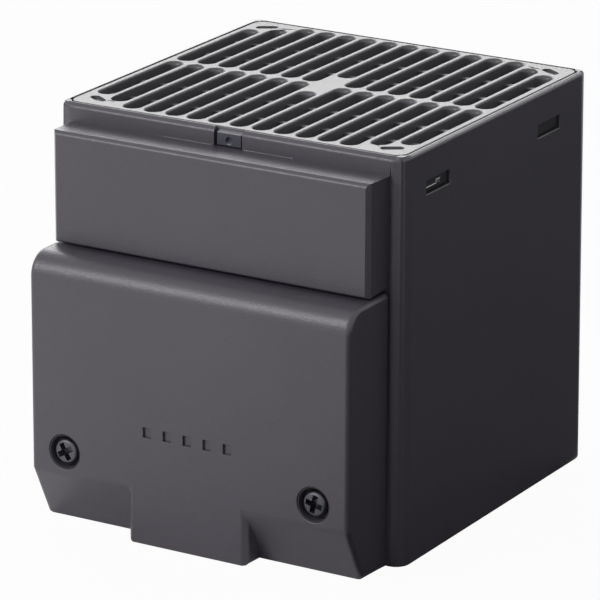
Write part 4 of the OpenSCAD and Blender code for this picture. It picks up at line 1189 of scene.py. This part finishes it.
def make_floor():
    bm = bmesh.new()
    bmesh.ops.create_grid(bm, x_segments=1, y_segments=1, size=6.0)
    floor = mesh_piece(bm, "studio_floor")
    floor.data.transform(Matrix.Translation((0, 0, -FLOOR_DROP)))
    material = bpy.data.materials.new("pale floor")
    tree = empty_tree(material)
    pale = add(tree, "ShaderNodeBsdfDiffuse", {"Color": (0.75, 0.75, 0.76, 1)})
    mirrored = add(tree, "ShaderNodeBsdfDiffuse", {"Color": (1.55, 1.55, 1.55, 1)})
    lit = blend(tree, rays(tree, "Is Glossy Ray"), pale, mirrored)
    share = maths(tree, "*", rays(tree, "Is Camera Ray", "Is Transmission Ray"), WHITE_SHARE)
    add(tree, "ShaderNodeOutputMaterial", {0: blend(tree, share, lit, add(tree, "ShaderNodeEmission"))})
    floor.data.materials.append(material)
    floor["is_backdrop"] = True


def make_world():
    scene.world = bpy.data.worlds.new("studio")
    tree = empty_tree(scene.world)
    dim = add(tree, "ShaderNodeBackground", {"Strength": AMBIENT})
    seen = rays(tree, "Is Camera Ray", "Is Glossy Ray", "Is Transmission Ray")
    add(tree, "ShaderNodeOutputWorld", {0: blend(tree, seen, dim, add(tree, "ShaderNodeBackground"))})


make_floor()
make_world()
print("floor and world made")

# %% [markdown]
# ## Lamps and a dark cloth
# A soft box at the front left lights the faces that look forward, and a large one far behind and to the left
# gives the flat upper faces their sheen. The right side stays dark because it mirrors a dark cloth that
# lies on the floor beside it. The camera does not see the cloth, and it casts no shadow.

# %% Lamps
TARGET = Vector((0.00082, -0.00957, 0.05082))


def direction(azimuth, elevation):
    """The unit vector from the object towards a place at this azimuth and elevation, in degrees."""
    a, e = math.radians(azimuth), math.radians(elevation)
    return Vector((math.sin(a) * math.cos(e), -math.cos(a) * math.cos(e), math.sin(e)))


def soft_box(name, azimuth, elevation, distance, width, height, power):
    lamp = bpy.data.lights.new(name, "AREA")
    lamp.shape = "RECTANGLE"
    lamp.size, lamp.size_y, lamp.energy = width, height, power
    towards = direction(azimuth, elevation)
    box = link(name, lamp)
    box.location = TARGET + towards * distance
    box.rotation_euler = towards.to_track_quat("Z", "Y").to_euler()


soft_box("front left box", -30, 32, 1.4, 0.52, 0.44, 5.0)
soft_box("back left box", 213, 28, 1.8, 1.7, 0.9, 17.0)

# %% Dark cloth
CLOTH_GAP = 0.4
CLOTH_FRONT, CLOTH_BACK, CLOTH_RIGHT, CLOTH_Z = -0.3, 1.2, 0.9, 0.0006


def dark_cloth():
    by_cover, by_casing, step = (cover_half + CLOTH_GAP) * MM, (half_w + CLOTH_GAP) * MM, front_y * MM
    outline = [(by_cover, CLOTH_FRONT), (CLOTH_RIGHT, CLOTH_FRONT), (CLOTH_RIGHT, CLOTH_BACK),
               (by_casing, CLOTH_BACK), (by_casing, step), (by_cover, step)]
    mesh = bpy.data.meshes.new("dark_cloth")
    mesh.from_pydata([(x, y, CLOTH_Z) for x, y in outline], [], [range(len(outline))])
    cloth = link("dark_cloth", mesh)
    material = bpy.data.materials.new("dark cloth")
    material.use_nodes = True
    shader = material.node_tree.nodes["Principled BSDF"].inputs
    shader["Base Color"].default_value = (0.065, 0.065, 0.07, 1)
    shader["Roughness"].default_value = 0.95
    mesh.materials.append(material)
    cloth.visible_camera = False
    cloth.visible_shadow = False
    cloth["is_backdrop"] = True


dark_cloth()
print("cloth laid")

# %% [markdown]
# ## Camera
# The camera stands where the photo was taken from, to the right of the front and a little above. A long lens
# far away keeps the upright edges almost parallel, as they are in the photo.

# %% Camera
AZIMUTH = 30.66
ELEVATION = 18.14
DISTANCE = 1.1563
ROLL = 0.24
LENS = 278.23
view = bpy.data.cameras.new("photo view")
view.lens, view.sensor_width = LENS, 36.0
view.clip_start, view.clip_end = 0.05, 30.0
camera = link("photo view", view)
towards = direction(AZIMUTH, ELEVATION)
camera.location = TARGET + towards * DISTANCE
aim = towards.to_track_quat("Z", "Y").to_matrix()
camera.rotation_euler = (aim @ Matrix.Rotation(math.radians(ROLL), 3, "Z")).to_euler()
scene.camera = camera
print("camera at", [round(v, 4) for v in camera.location])

# %% How far the boxes moved
visual_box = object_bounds()
corner_pairs = zip(visual_box, cad_box)
print("size difference, mm:", [[round((a - b) / MM, 3) for a, b in zip(v, c)] for v, c in corner_pairs])
